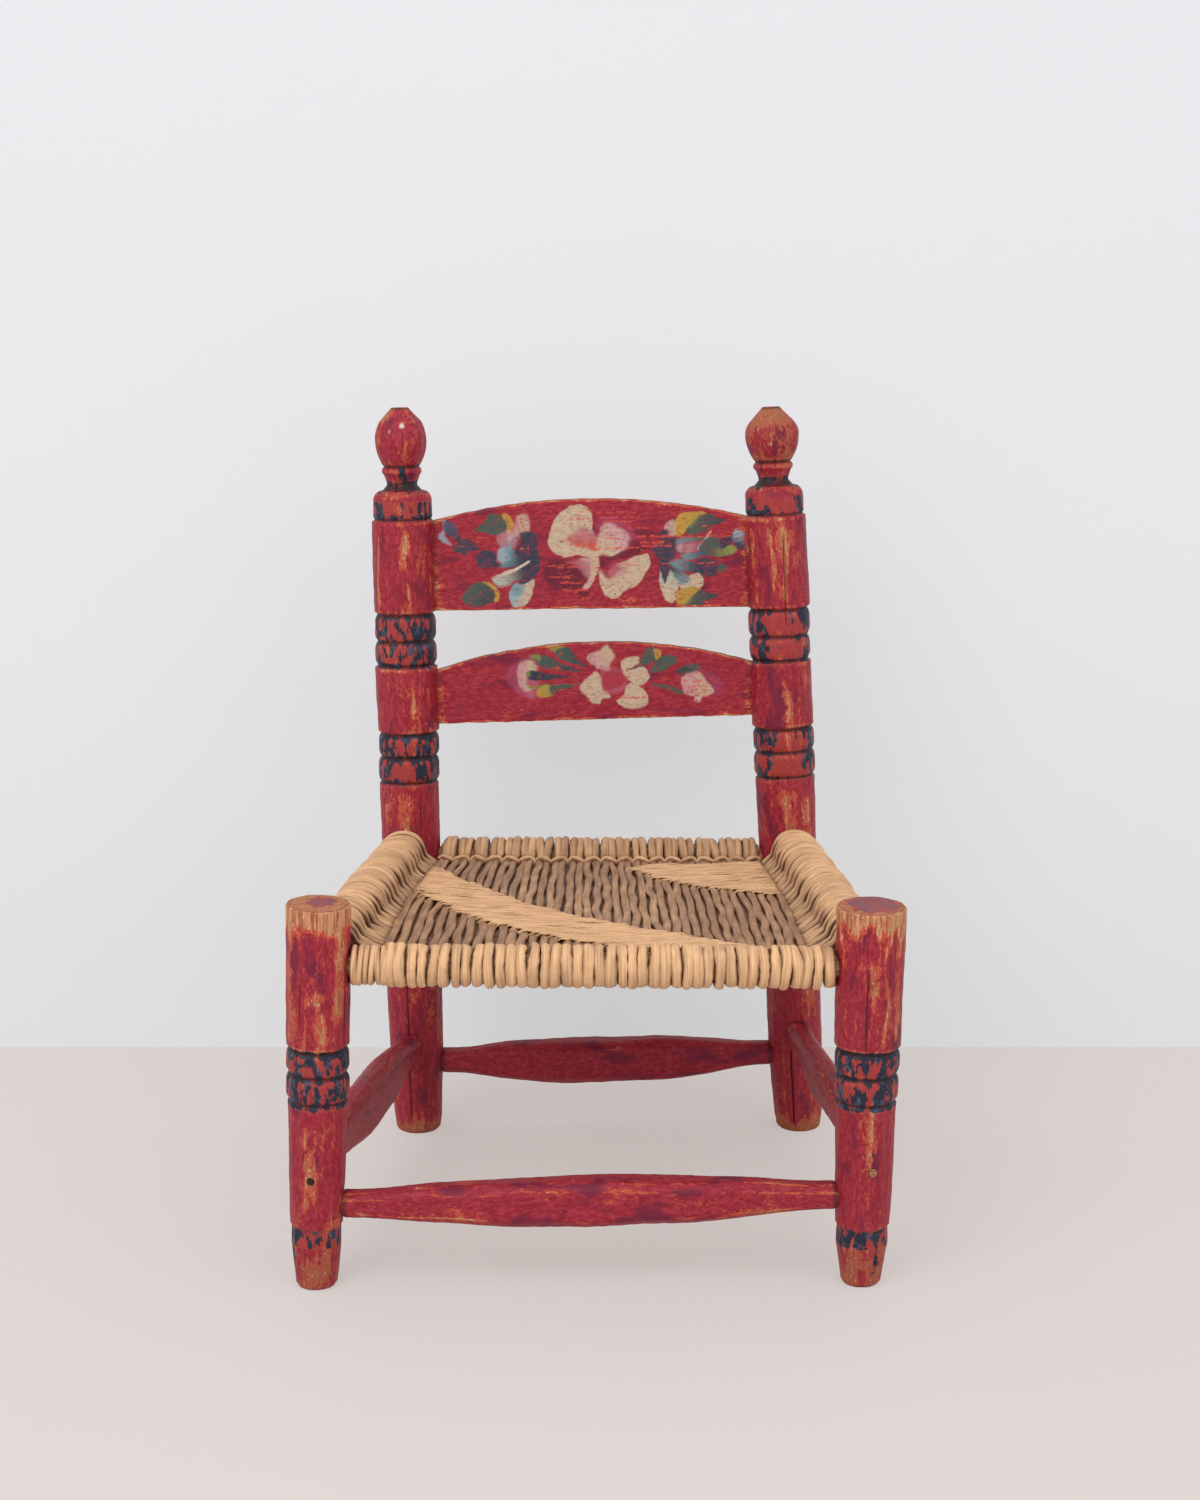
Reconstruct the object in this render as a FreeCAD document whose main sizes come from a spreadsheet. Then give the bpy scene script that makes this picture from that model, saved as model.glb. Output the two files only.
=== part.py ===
import FreeCAD, Part
import Sketcher

import math
import os

# A child's ladder-back chair: four turned posts, two arched slats, four hewn stretchers,
# four seat rails and a seat woven from palm strand.
# The origin is on the floor under the middle of the chair. X runs to the right of someone
# who looks at its front, Y to the back and Z up. All lengths are in millimetres.

# Driving dimensions. "rise" moves a post's turned marks up, "lean" is how far a post's top
# stands off its foot, and "lift" is a height above the named thing next below. The heights
# of the seat, the beads, the slats and the post's tops are stacked from these further down.
SIZES = {
    # plan of the feet
    "front_spread": 327.4,
    "back_spread": 261.5,
    "front_shift": -3.2,
    "back_shift": 9.5,
    "front_row": -146.3,
    "back_row": 109.3,
    "row_skew": 3.5,
    # front posts
    "front_top_lift": 37.7,
    "front_left_lean": 6.7,
    "front_right_lean": 1.4,
    "front_left_rise": 0.0,
    "front_right_rise": -1.8,
    "front_left_top_radius": 18.9,
    "front_left_belt_radius": 18.8,
    "front_left_bead_radius": 18.7,
    "front_left_shaft_radius": 17.8,
    "front_left_ankle_radius": 15.8,
    "front_left_ball_radius": 14.8,
    "front_left_toe_radius": 12.6,
    "front_right_top_radius": 20.4,
    "front_right_belt_radius": 19.5,
    "front_right_bead_radius": 19.1,
    "front_right_shaft_radius": 18.3,
    "front_right_ankle_radius": 16.1,
    "front_right_ball_radius": 15.4,
    "front_right_toe_radius": 12.2,
    "front_bead_middle": 135.4,
    "front_upper_bead": 15.9,
    "front_lower_bead": 16.7,
    "front_ankle": 38.6,
    "front_ball_height": 27.0,
    "front_rim": 1.4,
    # back posts
    "back_left_lean": -7.5,
    "back_right_lean": -23.8,
    "back_rake": 40.0,
    "back_left_rise": 0.0,
    "back_right_rise": 3.4,
    "back_left_finial_radius": 17.2,
    "back_right_finial_radius": 17.9,
    "finial_tip_radius": 5.6,
    "finial_cone": 8.9,
    "finial_cone_radius": 14.0,
    "back_left_finial_crown": 12.3,
    "back_right_finial_crown": 9.5,
    "finial_swell": 17.8,
    "finial_base_radius": 11.4,
    "collar_height": 5.0,
    "collar_radius": 13.1,
    "neck_flare": 5.4,
    "neck_straight": 1.6,
    "neck_radius": 9.9,
    "neck_slope": 3.2,
    "shoulder_start_radius": 12.6,
    "shoulder_fall": 7.0,
    "shoulder_radius": 19.4,
    "shoulder_band": 12.3,
    "shoulder_lift": 6.1,
    "back_shaft_radius": 20.7,
    "back_bead_radius": 20.5,
    "back_waist_radius": 19.9,
    "back_ankle_radius": 18.2,
    "back_toe_radius": 16.2,
    "upper_beads_lift": 26.1,
    "upper_beads_upper": 18.1,
    "upper_beads_lower": 16.3,
    "lower_beads_lift": 69.9,
    "lower_beads_upper": 15.8,
    "lower_beads_lower": 17.1,
    "back_ankle": 52.0,
    "back_toe": 9.0,
    # turned details that all the posts share
    "groove_depth": 2.1,
    "groove_half": 1.7,
    "bead_round": 3.4,
    "foot_rim": 3.2,
    # joints
    "wood_clearance": 0.15,
    "tenon_web": 1.0,
    # stretchers: heights at each end on the posts' axes
    "front_stretcher_left": 51.0,
    "front_stretcher_right": 55.9,
    "back_stretcher_left": 46.6,
    "back_stretcher_right": 51.7,
    "left_stretcher_front": 77.5,
    "left_stretcher_back": 62.0,
    "right_stretcher_front": 83.0,
    "right_stretcher_back": 70.0,
    "stretcher_tenon_radius": 7.5,
    "stretcher_reveal": 2.0,
    "front_stretcher_belly": 1.4,
    "back_stretcher_belly": 2.6,
    "left_stretcher_belly": 1.0,
    "right_stretcher_belly": 0.0,
    "stretcher_shoulder": 0.4,
    "front_stretcher_half_height": 14.5,
    "front_stretcher_half_depth": 11.5,
    "back_stretcher_half_height": 15.1,
    "back_stretcher_half_depth": 11.0,
    "left_stretcher_half_height": 16.0,
    "left_stretcher_half_depth": 9.5,
    "right_stretcher_half_height": 10.2,
    "right_stretcher_half_depth": 9.5,
    # slats: each lower edge is lifted above the middle of the beads next below
    "upper_slat_left_lift": 18.3,
    "upper_slat_right_lift": 17.5,
    "upper_slat_end": 56.6,
    "upper_slat_middle": 73.4,
    "lower_slat_left_lift": 19.8,
    "lower_slat_right_lift": 22.8,
    "lower_slat_end": 32.0,
    "lower_slat_middle": 52.3,
    "slat_thickness": 8.0,
    "slat_inset": 7.0,
    # seat rails: the front rail's height at its left end and how the others stand to it
    "seat_height": 200.8,
    "front_rail_fall": 2.7,
    "back_rail_drop": 11.7,
    "back_rail_fall": 2.0,
    "left_rail_front_lift": 3.7,
    "left_rail_back_lift": 8.4,
    "right_rail_front_lift": 5.4,
    "right_rail_back_lift": 10.4,
    "rail_tenon_radius": 6.5,
    "rail_reveal": 0.6,
    "front_rail_radius": 8.4,
    "side_rail_radius": 10.4,
    # woven seat
    "warp_strand": 6.35,
    "weft_strand": 4.9,
    "wrap_strand": 3.6,
    "strand_groove": 1.1,
    "weave_clearance": 0.2,
    "warp_radius": 13.0,
    "corner_wrap_radius": 12.0,
    "panel_half": 3.4,
    "warp_front_left": 22.0,
    "warp_front_right": 8.0,
    "warp_back_margin": 2.0,
    "side_weft_front_radius": 17.0,
    "side_weft_back_radius": 15.8,
    "float_thickness": 2.6,
    "float_side_gap": 1.2,
    "panel_gap": 1.3,
    "band_lift": 0.5,
    "weft_end_gap": 4.0,
    "twining_radius": 1.7,
    "twining_setback": 22.0,
    # plugs in the front posts
    "plug_radius": 2.4,
    "plug_length": 14.0,
    "plug_clearance": 0.1,
    "left_plug_height": 71.2,
    "left_plug_offset": -3.0,
    "left_plug_recess": 3.0,
    "right_plug_height": 76.0,
    "right_plug_offset": 3.8,
    "right_plug_recess": 0.4,
    # cutting tools
    "overrun": 6.0,
}

# Hewn spindle outline: share of the length between the posts, share of the middle's size.
SPINDLE_SHARES = (
    (0.0, 0.53), (0.16, 0.77), (0.37, 0.97), (0.5, 1.0), (0.68, 0.93), (0.84, 0.76), (1.0, 0.53),
)
# The flat that the drawknife leaves on each corner, as a share of the half depth.
FACET_SHARE = 0.45
# Corners of the woven bands: share of the width from the left, share of the depth from the front.
FRONT_BAND_SHARES = (
    (0.0, 0.6), (0.15, 0.4), (0.4, 0.17), (0.54, 0.11), (0.95, 0.11), (0.68, 0.27), (0.34, 0.51), (0.0, 0.86),
)
BACK_BAND_SHARES = ((0.58, 0.84), (0.69, 0.73), (0.78, 0.67), (0.95, 0.59), (1.0, 0.64), (1.0, 0.88))
UNDER_BAND_SHARES = ((0.0, 0.25), (1.0, 0.6), (1.0, 0.85), (0.0, 0.5))
# Where the side strands meet the warp's edge, as shares of that edge from its front end.
WEB_SHARES = (0.09, 0.92)
# Where a palm strand's crown starts and ends across its width.
CROWN_SHARES = (0.3, 0.7)

doc = FreeCAD.newDocument("child_chair")
sheet = doc.addObject("Spreadsheet::Sheet", "sizes")
for row, (alias, number) in enumerate(SIZES.items(), start=1):
    sheet.set("A%d" % row, alias)
    sheet.set("B%d" % row, str(number))
    sheet.setAlias("B%d" % row, alias)
doc.recompute()


class Size:
    """A length and the expression on the sheet's cells that gives it."""

    def __init__(self, value, text):
        self.value = value
        self.text = text

    def joined(self, other, sign, value):
        text = other.text if isinstance(other, Size) else repr(other)
        return Size(value, "(%s %s %s)" % (self.text, sign, text))

    def __add__(self, other):
        return self.joined(other, "+", self.value + number_of(other))

    def __sub__(self, other):
        return self.joined(other, "-", self.value - number_of(other))

    def __mul__(self, other):
        return self.joined(other, "*", self.value * number_of(other))

    def __truediv__(self, other):
        return self.joined(other, "/", self.value / number_of(other))


def number_of(size):
    return size.value if isinstance(size, Size) else size


def worked_out(number):
    """A size that this script works out from the posts' places."""
    return Size(number, repr(number))


def cell(alias):
    """The size that stands in the sheet under this name."""
    return Size(float(sheet.get(alias)), "sizes.%s" % alias)


def value(alias):
    return cell(alias).value


def bind(obj, prop, size):
    setattr(obj, prop, size.value)
    obj.setExpression(prop, size.text)


def stacked_levels():
    """Heights on the posts' axes, each from the one below it: rails, beads, slats and tops."""
    front = cell("seat_height")
    back = front - cell("back_rail_drop")
    levels = {
        "front_rail": (front, front - cell("front_rail_fall")),
        "back_rail": (back, back - cell("back_rail_fall")),
    }
    for number, side in enumerate(("left", "right")):
        lifts = [cell("%s_rail_%s_lift" % (side, row)) for row in ("front", "back")]
        levels[side + "_rail"] = (
            levels["front_rail"][number] + lifts[0], levels["back_rail"][number] + lifts[1])
        levels["front_%s_top" % side] = levels["front_rail"][number] + cell("front_top_lift")
    under = back
    for beads_name, slat_name in (("lower_beads", "lower_slat"), ("upper_beads", "upper_slat")):
        middle = under + cell(beads_name + "_lift")
        levels[beads_name] = middle
        levels[slat_name] = tuple(
            middle + cell("back_%s_rise" % side) + cell("%s_%s_lift" % (slat_name, side))
            for side in ("left", "right"))
        under = middle + cell(slat_name + "_left_lift") + cell(slat_name + "_end")
    levels["shoulder_groove"] = under + cell("shoulder_lift")
    levels["shoulder"] = levels["shoulder_groove"] + cell("shoulder_band")
    levels["shoulder_start"] = levels["shoulder"] + cell("shoulder_fall")
    levels["neck"] = levels["shoulder_start"] + cell("neck_slope")
    levels["collar"] = levels["neck"] + cell("neck_straight") + cell("neck_flare")
    levels["finial_base"] = levels["collar"] + cell("collar_height")
    levels["finial_widest"] = levels["finial_base"] + cell("finial_swell")
    for side in ("left", "right"):
        post = "back_" + side
        crown = levels["finial_widest"] + cell(post + "_rise") + cell(post + "_finial_crown")
        levels[post + "_cone"] = crown
        levels[post + "_top"] = crown + cell("finial_cone")
    return levels


LEVELS = stacked_levels()


# Sketch helpers

def origin_plane(body, role):
    return [feature for feature in body.Origin.OriginFeatures if feature.Role == role][0]


def new_sketch(body, name, role, offset=None):
    """A sketch on one of the body's own planes, moved along its normal by an offset."""
    sketch = body.newObject("Sketcher::SketchObject", name)
    sketch.AttachmentSupport = (origin_plane(body, role), [""])
    sketch.MapMode = "FlatFace"
    if offset is not None:
        sketch.AttachmentOffset = FreeCAD.Placement(FreeCAD.Vector(0, 0, offset.value), FreeCAD.Rotation())
        sketch.setExpression("AttachmentOffset.Base.z", offset.text)
    return sketch


def constrain(sketch, kind, refs, size):
    """One driven-by-the-sheet dimension of a sketch."""
    index = sketch.addConstraint(Sketcher.Constraint(kind, *refs, size.value))
    sketch.setExpression("Constraints[%d]" % index, size.text)


def locate(sketch, edge, end, x_size, y_size):
    """Dimension one end of an edge from the sketch's origin; None keeps it on that axis."""
    if x_size is None:
        sketch.addConstraint(Sketcher.Constraint("PointOnObject", edge, end, -2))
    else:
        constrain(sketch, "DistanceX", (-1, 1, edge, end), x_size)
    if y_size is None:
        sketch.addConstraint(Sketcher.Constraint("PointOnObject", edge, end, -1))
    else:
        constrain(sketch, "DistanceY", (-1, 1, edge, end), y_size)


def point(x_size, y_size):
    return FreeCAD.Vector(0 if x_size is None else x_size.value, 0 if y_size is None else y_size.value, 0)


def rounding(low, high):
    """An arc between two outline points that stands upright where the outline is wider."""
    lower, upper = point(*low[:2]), point(*high[:2])
    swell = cell_difference(high[0], low[0])
    rise = high[1] - low[1]
    radius = (swell * swell + rise * rise) / (swell * 2)
    if upper.x > lower.x:
        center = FreeCAD.Vector(upper.x - radius.value, upper.y, 0)
    else:
        center = FreeCAD.Vector(lower.x - radius.value, lower.y, 0)
    start = math.atan2(lower.y - center.y, lower.x - center.x)
    end = math.atan2(upper.y - center.y, upper.x - center.x)
    circle = Part.Circle(center, FreeCAD.Vector(0, 0, 1), radius.value)
    return Part.ArcOfCircle(circle, start, end), radius


def cell_difference(one, other):
    return one - other if one.value > other.value else other - one


def turned_body(name, outline):
    """A body turned about its own Z axis. The outline's rows are radius, height and whether
    the edge to the next row is rounded; the lowest row comes first."""
    body = doc.addObject("PartDesign::Body", name)
    sketch = new_sketch(body, name + "_outline", "XZ_Plane")
    rows = [(None, outline[0][1], False)] + outline + [(None, outline[-1][1], False)]
    for low, high in zip(rows, rows[1:]):
        if low[2]:
            arc, radius = rounding(low, high)
            edge = sketch.addGeometry(arc)
            constrain(sketch, "Radius", (edge,), radius)
        else:
            edge = sketch.addGeometry(Part.LineSegment(point(*low[:2]), point(*high[:2])))
        if edge > 0:
            sketch.addConstraint(Sketcher.Constraint("Coincident", edge - 1, 2, edge, 1))
        locate(sketch, edge, 1, *low[:2])
    locate(sketch, edge, 2, *rows[-1][:2])
    closing = sketch.addGeometry(Part.LineSegment(point(*rows[-1][:2]), point(*rows[0][:2])))
    sketch.addConstraint(Sketcher.Constraint("Coincident", edge, 2, closing, 1))
    sketch.addConstraint(Sketcher.Constraint("Coincident", closing, 2, 0, 1))
    turned = body.newObject("PartDesign::Revolution", name + "_turned")
    turned.Profile = sketch
    turned.ReferenceAxis = (sketch, ["V_Axis"])
    turned.Angle = 360
    return body


# Turned posts. Heights in an outline are above the floor; the blank starts below it by the
# overrun, and the floor plane cuts it off.

def groove(radius_below, radius_above, height):
    """A narrow turned groove between two stretches of a post."""
    bottom = radius_below - cell("groove_depth")
    return [
        (radius_below, height - cell("groove_half"), False),
        (bottom, height, False),
        (radius_above, height + cell("groove_half"), False),
    ]


def beads(radius, radius_below, radius_above, middle, upper, lower):
    """Two round-shouldered beads between three grooves, about the middle groove's height."""
    bottom = radius - cell("groove_depth")
    curve = cell("bead_round")
    rows = [(radius_below, middle - lower - cell("groove_half"), False)]
    for start, length in ((middle - lower, lower), (middle, upper)):
        rows.append((bottom, start, True))
        rows.append((radius, start + curve, False))
        rows.append((radius, start + length - curve, True))
    rows.append((bottom, middle + upper, False))
    rows.append((radius_above, middle + upper + cell("groove_half"), False))
    return rows


def foot(toe_radius):
    """The rounded rim that a post stands on, and the waste below the floor."""
    rim = cell("foot_rim")
    return [
        (toe_radius - rim / 2, None, False),
        (toe_radius - rim / 2, cell("overrun"), True),
        (toe_radius, cell("overrun") + rim, False),
    ]


def above_floor(rows):
    """Shift an outline's heights to the blank's own, which starts below the floor."""
    return [(radius, height + cell("overrun"), rounded) for radius, height, rounded in rows]


def front_outline(post):
    def own(word):
        return cell("%s_%s" % (post, word))

    rise = own("rise")
    ankle = cell("front_ankle") + rise
    rows = [
        (own("ball_radius"), cell("front_ball_height") + rise, True),
        (own("ankle_radius") - cell("groove_depth") / 2, ankle, False),
        (own("ankle_radius"), ankle + cell("groove_half"), False),
    ]
    middle = cell("front_bead_middle") + rise
    rows += beads(own("bead_radius"), own("shaft_radius"), own("belt_radius"), middle,
                  cell("front_upper_bead"), cell("front_lower_bead"))
    rows += [
        (own("top_radius"), LEVELS[post + "_top"] - cell("front_rim"), False),
        (own("top_radius") - cell("front_rim"), LEVELS[post + "_top"], False),
    ]
    return foot(own("toe_radius")) + above_floor(rows)


def back_outline(post):
    rise = cell(post + "_rise")
    finial_radius = cell(post + "_finial_radius")
    shaft = cell("back_shaft_radius")
    bead = cell("back_bead_radius")
    waist = cell("back_waist_radius")
    rows = [
        (cell("back_toe_radius"), cell("back_toe"), False),
        (cell("back_ankle_radius"), cell("back_ankle"), False),
    ]
    rows += beads(bead, waist, shaft, LEVELS["lower_beads"] + rise,
                  cell("lower_beads_upper"), cell("lower_beads_lower"))
    rows += beads(bead, shaft, shaft, LEVELS["upper_beads"] + rise,
                  cell("upper_beads_upper"), cell("upper_beads_lower"))
    rows += groove(shaft, cell("shoulder_radius"), LEVELS["shoulder_groove"] + rise)
    neck = LEVELS["neck"] + rise
    base = LEVELS["finial_base"] + rise
    rows += [
        (cell("shoulder_radius"), LEVELS["shoulder"] + rise, True),
        (cell("shoulder_start_radius"), LEVELS["shoulder_start"] + rise, False),
        (cell("neck_radius"), neck, False),
        (cell("neck_radius"), neck + cell("neck_straight"), False),
        (cell("collar_radius") - cell("collar_height") / 4, base - cell("collar_height"), False),
        (cell("collar_radius"), base - cell("collar_height") * 0.75, False),
        (cell("collar_radius"), base - cell("collar_height") / 2, True),
        (cell("finial_base_radius"), base, True),
        (finial_radius, LEVELS["finial_widest"] + rise, True),
        (cell("finial_cone_radius"), LEVELS[post + "_cone"], False),
        (cell("finial_tip_radius"), LEVELS[post + "_top"], False),
    ]
    return foot(cell("back_toe_radius") - cell("foot_rim") / 4) + above_floor(rows)


class Axis:
    """The straight line that a post is turned about: its foot on the floor and its top's offset."""

    def __init__(self, foot_point, lean, rake, height):
        self.foot = foot_point
        self.direction = FreeCAD.Vector(lean, rake, height).normalize()

    def at(self, height):
        """The point of the axis at a height above the floor."""
        return self.foot + self.direction * (height / self.direction.z)


def post_axis(row, side):
    """side is -1 for the left-hand post and 1 for the right-hand one."""
    post = "%s_%s" % (row, "left" if side < 0 else "right")
    x = value(row + "_shift") + side * value(row + "_spread") / 2
    y = value(row + "_row") + side * value("row_skew") / 2
    rake = value("back_rake") if row == "back" else 0
    return Axis(FreeCAD.Vector(x, y, 0), value(post + "_lean"), rake, LEVELS[post + "_top"].value)


AXES = {
    "front_left": post_axis("front", -1),
    "front_right": post_axis("front", 1),
    "back_left": post_axis("back", -1),
    "back_right": post_axis("back", 1),
}
FRONT = ("front_left", "front_right")
UP = FreeCAD.Vector(0, 0, 1)


def frame_between(start, end, up=UP):
    """A placement at the start point whose X runs to the end and whose Z stays as upright as it can."""
    along = (end - start).normalize()
    upright = (up - along * up.dot(along)).normalize()
    return FreeCAD.Placement(start, FreeCAD.Rotation(along, upright.cross(along), upright, "XYZ"))


def turned_frame(start, direction):
    """A placement at the start point whose Z runs in a direction."""
    return FreeCAD.Placement(start, FreeCAD.Rotation(UP, direction))


# Members between two posts. Their blind tenons stop short of the posts' axes by the tenon's
# radius and a web of wood, so tenons that come into a post from two sides never meet.

def tenon_ends(start, end, tenon_radius):
    along = (end - start).normalize()
    stop = value(tenon_radius) + value("tenon_web")
    return start + along * stop, end - along * stop


def round_length(body, name, radius, start, length):
    """A round length along the body's X axis."""
    piece = body.newObject("PartDesign::AdditiveCylinder", name)
    piece.AttachmentSupport = (origin_plane(body, "YZ_Plane"), [""])
    piece.MapMode = "FlatFace"
    piece.AttachmentOffset = FreeCAD.Placement(FreeCAD.Vector(0, 0, start), FreeCAD.Rotation())
    bind(piece, "Radius", radius)
    piece.Height = length
    return piece


def faceted_sketch(body, name, offset, drop, half_depth, half_height):
    """A hewn section: a rectangle whose corners are cut off, centred a little below the body's X axis."""
    sketch = body.newObject("Sketcher::SketchObject", name)
    sketch.AttachmentSupport = (origin_plane(body, "YZ_Plane"), [""])
    sketch.MapMode = "FlatFace"
    sketch.AttachmentOffset = FreeCAD.Placement(FreeCAD.Vector(0, -drop, offset), FreeCAD.Rotation())
    facet = half_depth * FACET_SHARE
    side, top = half_height - facet, half_depth - facet
    ring = []
    for x_sign, y_sign in ((1, 1), (-1, 1), (-1, -1), (1, -1)):
        beside = (x_sign * half_depth.value, y_sign * side.value)
        above = (x_sign * top.value, y_sign * half_height.value)
        ring += [beside, above] if x_sign == y_sign else [above, beside]
    points = [FreeCAD.Vector(x, y, 0) for x, y in ring]
    for index, start in enumerate(points):
        sketch.addGeometry(Part.LineSegment(start, points[(index + 1) % len(points)]))
    for index in range(len(points)):
        sketch.addConstraint(Sketcher.Constraint("Coincident", index, 2, (index + 1) % len(points), 1))
    # the first corner is dimensioned and the other three mirror it
    locate(sketch, 0, 1, half_depth, side)
    locate(sketch, 0, 2, top, half_height)
    sketch.addConstraint(Sketcher.Constraint("Symmetric", 0, 1, 3, 1, -2))
    sketch.addConstraint(Sketcher.Constraint("Symmetric", 0, 2, 2, 1, -2))
    sketch.addConstraint(Sketcher.Constraint("Symmetric", 0, 1, 7, 1, -1))
    sketch.addConstraint(Sketcher.Constraint("Symmetric", 0, 2, 6, 1, -1))
    sketch.addConstraint(Sketcher.Constraint("Symmetric", 3, 1, 4, 1, -1))
    sketch.addConstraint(Sketcher.Constraint("Symmetric", 2, 1, 5, 1, -1))
    return sketch


def stretcher(label, start, end, start_radius, end_radius):
    """A hewn spindle between two points on the posts' axes, with a round tenon at each end."""
    first, last = tenon_ends(start, end, "stretcher_tenon_radius")
    length = (last - first).Length
    stop = value("stretcher_tenon_radius") + value("tenon_web")
    begin = start_radius + value("stretcher_reveal") - stop
    finish = length + stop - end_radius - value("stretcher_reveal")
    body = doc.addObject("PartDesign::Body", label)
    body.Label = label
    round_length(body, label + "_tenons", cell("stretcher_tenon_radius"), 0, length)
    sections = []
    for number, (place_share, size_share) in enumerate(SPINDLE_SHARES):
        offset = begin + (finish - begin) * place_share
        half_depth = cell(label + "_half_depth") * size_share
        half_height = cell(label + "_half_height") * size_share
        if place_share in (0.0, 1.0):
            half_depth = half_height = cell("stretcher_tenon_radius") + cell("stretcher_shoulder")
        # the belly hangs lowest in the middle and not at all at the posts
        drop = value(label + "_belly") * (size_share - SPINDLE_SHARES[0][1]) / (1 - SPINDLE_SHARES[0][1])
        name = "%s_section_%d" % (label, number)
        sections.append(faceted_sketch(body, name, offset, drop, half_depth, half_height))
    spindle = body.newObject("PartDesign::AdditiveLoft", label + "_spindle")
    spindle.Profile = sections[0]
    spindle.Sections = sections[1:]
    body.Placement = frame_between(first, last)
    return body


def rail(label, start, end, radius, start_radius, end_radius):
    """A round seat rail with thinner round tenons."""
    first, last = tenon_ends(start, end, "rail_tenon_radius")
    length = (last - first).Length
    stop = value("rail_tenon_radius") + value("tenon_web")
    begin = start_radius + value("rail_reveal") - stop
    finish = length + stop - end_radius - value("rail_reveal")
    body = doc.addObject("PartDesign::Body", label)
    body.Label = label
    round_length(body, label + "_tenons", cell("rail_tenon_radius"), 0, length)
    round_length(body, label + "_round", cell(radius), begin, finish - begin)
    body.Placement = frame_between(first, last)
    return body


def mortise(name, start, end, radius):
    """The drilled hole for one tenon, from the tenon's tip out past the post's surface."""
    along = (end - start).normalize()
    stop = value(radius) + value("tenon_web") - value("wood_clearance")
    hole = doc.addObject("Part::Cylinder", name)
    bind(hole, "Radius", cell(radius) + cell("wood_clearance"))
    bind(hole, "Height", cell("back_shaft_radius") + cell("overrun"))
    hole.Placement = turned_frame(start + along * stop, along)
    return hole


def slat(label):
    """An arched board between the back posts: straight lower edge, arc for the upper one."""
    left, right = AXES["back_left"], AXES["back_right"]
    left_low, right_low = (axis.at(low.value) for axis, low in zip((left, right), LEVELS[label]))
    half = (right_low - left_low).Length / 2 - value("slat_inset")
    upright = (left.direction + right.direction).normalize()
    frame = frame_between((left_low + right_low) / 2, right_low, upright)
    end, middle = cell(label + "_end"), cell(label + "_middle")
    crown = middle - end
    radius = (crown * crown + worked_out(half * half)) / (crown * 2)
    body = doc.addObject("PartDesign::Body", label)
    body.Label = label
    sketch = new_sketch(body, label + "_outline", "XZ_Plane")
    corners = [FreeCAD.Vector(-half, 0, 0), FreeCAD.Vector(half, 0, 0)]
    corners += [FreeCAD.Vector(half, end.value, 0), FreeCAD.Vector(-half, end.value, 0)]
    sketch.addGeometry(Part.LineSegment(corners[0], corners[1]))
    sketch.addGeometry(Part.LineSegment(corners[1], corners[2]))
    sketch.addGeometry(Part.Arc(corners[2], FreeCAD.Vector(0, middle.value, 0), corners[3]))
    sketch.addGeometry(Part.LineSegment(corners[3], corners[0]))
    for edge in range(4):
        sketch.addConstraint(Sketcher.Constraint("Coincident", edge, 2, (edge + 1) % 4, 1))
    sketch.addConstraint(Sketcher.Constraint("Symmetric", 0, 1, 0, 2, -2))
    locate(sketch, 1, 1, worked_out(half), None)
    locate(sketch, 1, 2, worked_out(half), end)
    sketch.addConstraint(Sketcher.Constraint("Vertical", 3))
    constrain(sketch, "Radius", (2,), radius)
    board = body.newObject("PartDesign::Pad", label + "_board")
    board.Profile = sketch
    board.Midplane = True
    bind(board, "Length", cell("slat_thickness"))
    body.Placement = frame
    return body, frame, half, radius.value


def slot(name, label, post, side, frame, half, radius):
    """The slot for one end of a slat, as tall as the slat is where it leaves the post."""
    clearance = value("wood_clearance")
    # the post leans over the slat, so its face is nearest to the middle at the slat's top
    axis = AXES[post]
    lean = abs(axis.direction.x / axis.direction.z) * value(label + "_middle")
    mouth = half + value("slat_inset") - value("back_shaft_radius") - lean
    crown_drop = radius - math.sqrt(radius ** 2 - mouth ** 2)
    tool = doc.addObject("Part::Box", name)
    tool.Length = value("back_shaft_radius") + value("overrun")
    bind(tool, "Width", cell("slat_thickness") + cell("wood_clearance") * 2)
    tool.Height = value(label + "_middle") - crown_drop + clearance * 2
    low = FreeCAD.Vector(half + clearance - tool.Length.Value, -tool.Width.Value / 2, -clearance)
    if side < 0:
        low.x = -half - clearance
    tool.Placement = frame.multiply(FreeCAD.Placement(low, FreeCAD.Rotation()))
    return tool


def plug(post, cuts):
    """A short round plug let into the front of a post, and the hole that it sits in."""
    axis = AXES[post]
    side_word = post.split("_")[1] + "_plug"
    middle = axis.at(value(side_word + "_height"))
    offset = value(side_word + "_offset")
    surface = math.sqrt(value(post + "_shaft_radius") ** 2 - offset ** 2)
    front = middle + FreeCAD.Vector(offset, -surface, 0)
    back = FreeCAD.Vector(0, 1, 0)
    peg = doc.addObject("Part::Cylinder", post + "_plug")
    peg.Label = post + "_plug"
    bind(peg, "Radius", cell("plug_radius"))
    bind(peg, "Height", cell("plug_length"))
    peg.Placement = turned_frame(front + back * value(side_word + "_recess"), back)
    hole = doc.addObject("Part::Cylinder", post + "_plug_hole")
    bind(hole, "Radius", cell("plug_radius") + cell("plug_clearance"))
    bind(hole, "Height", cell("plug_length") + cell("overrun") + cell(side_word + "_recess"))
    hole.Placement = turned_frame(front - back * value("overrun"), back)
    cuts[post].append(hole)
    return peg


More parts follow.
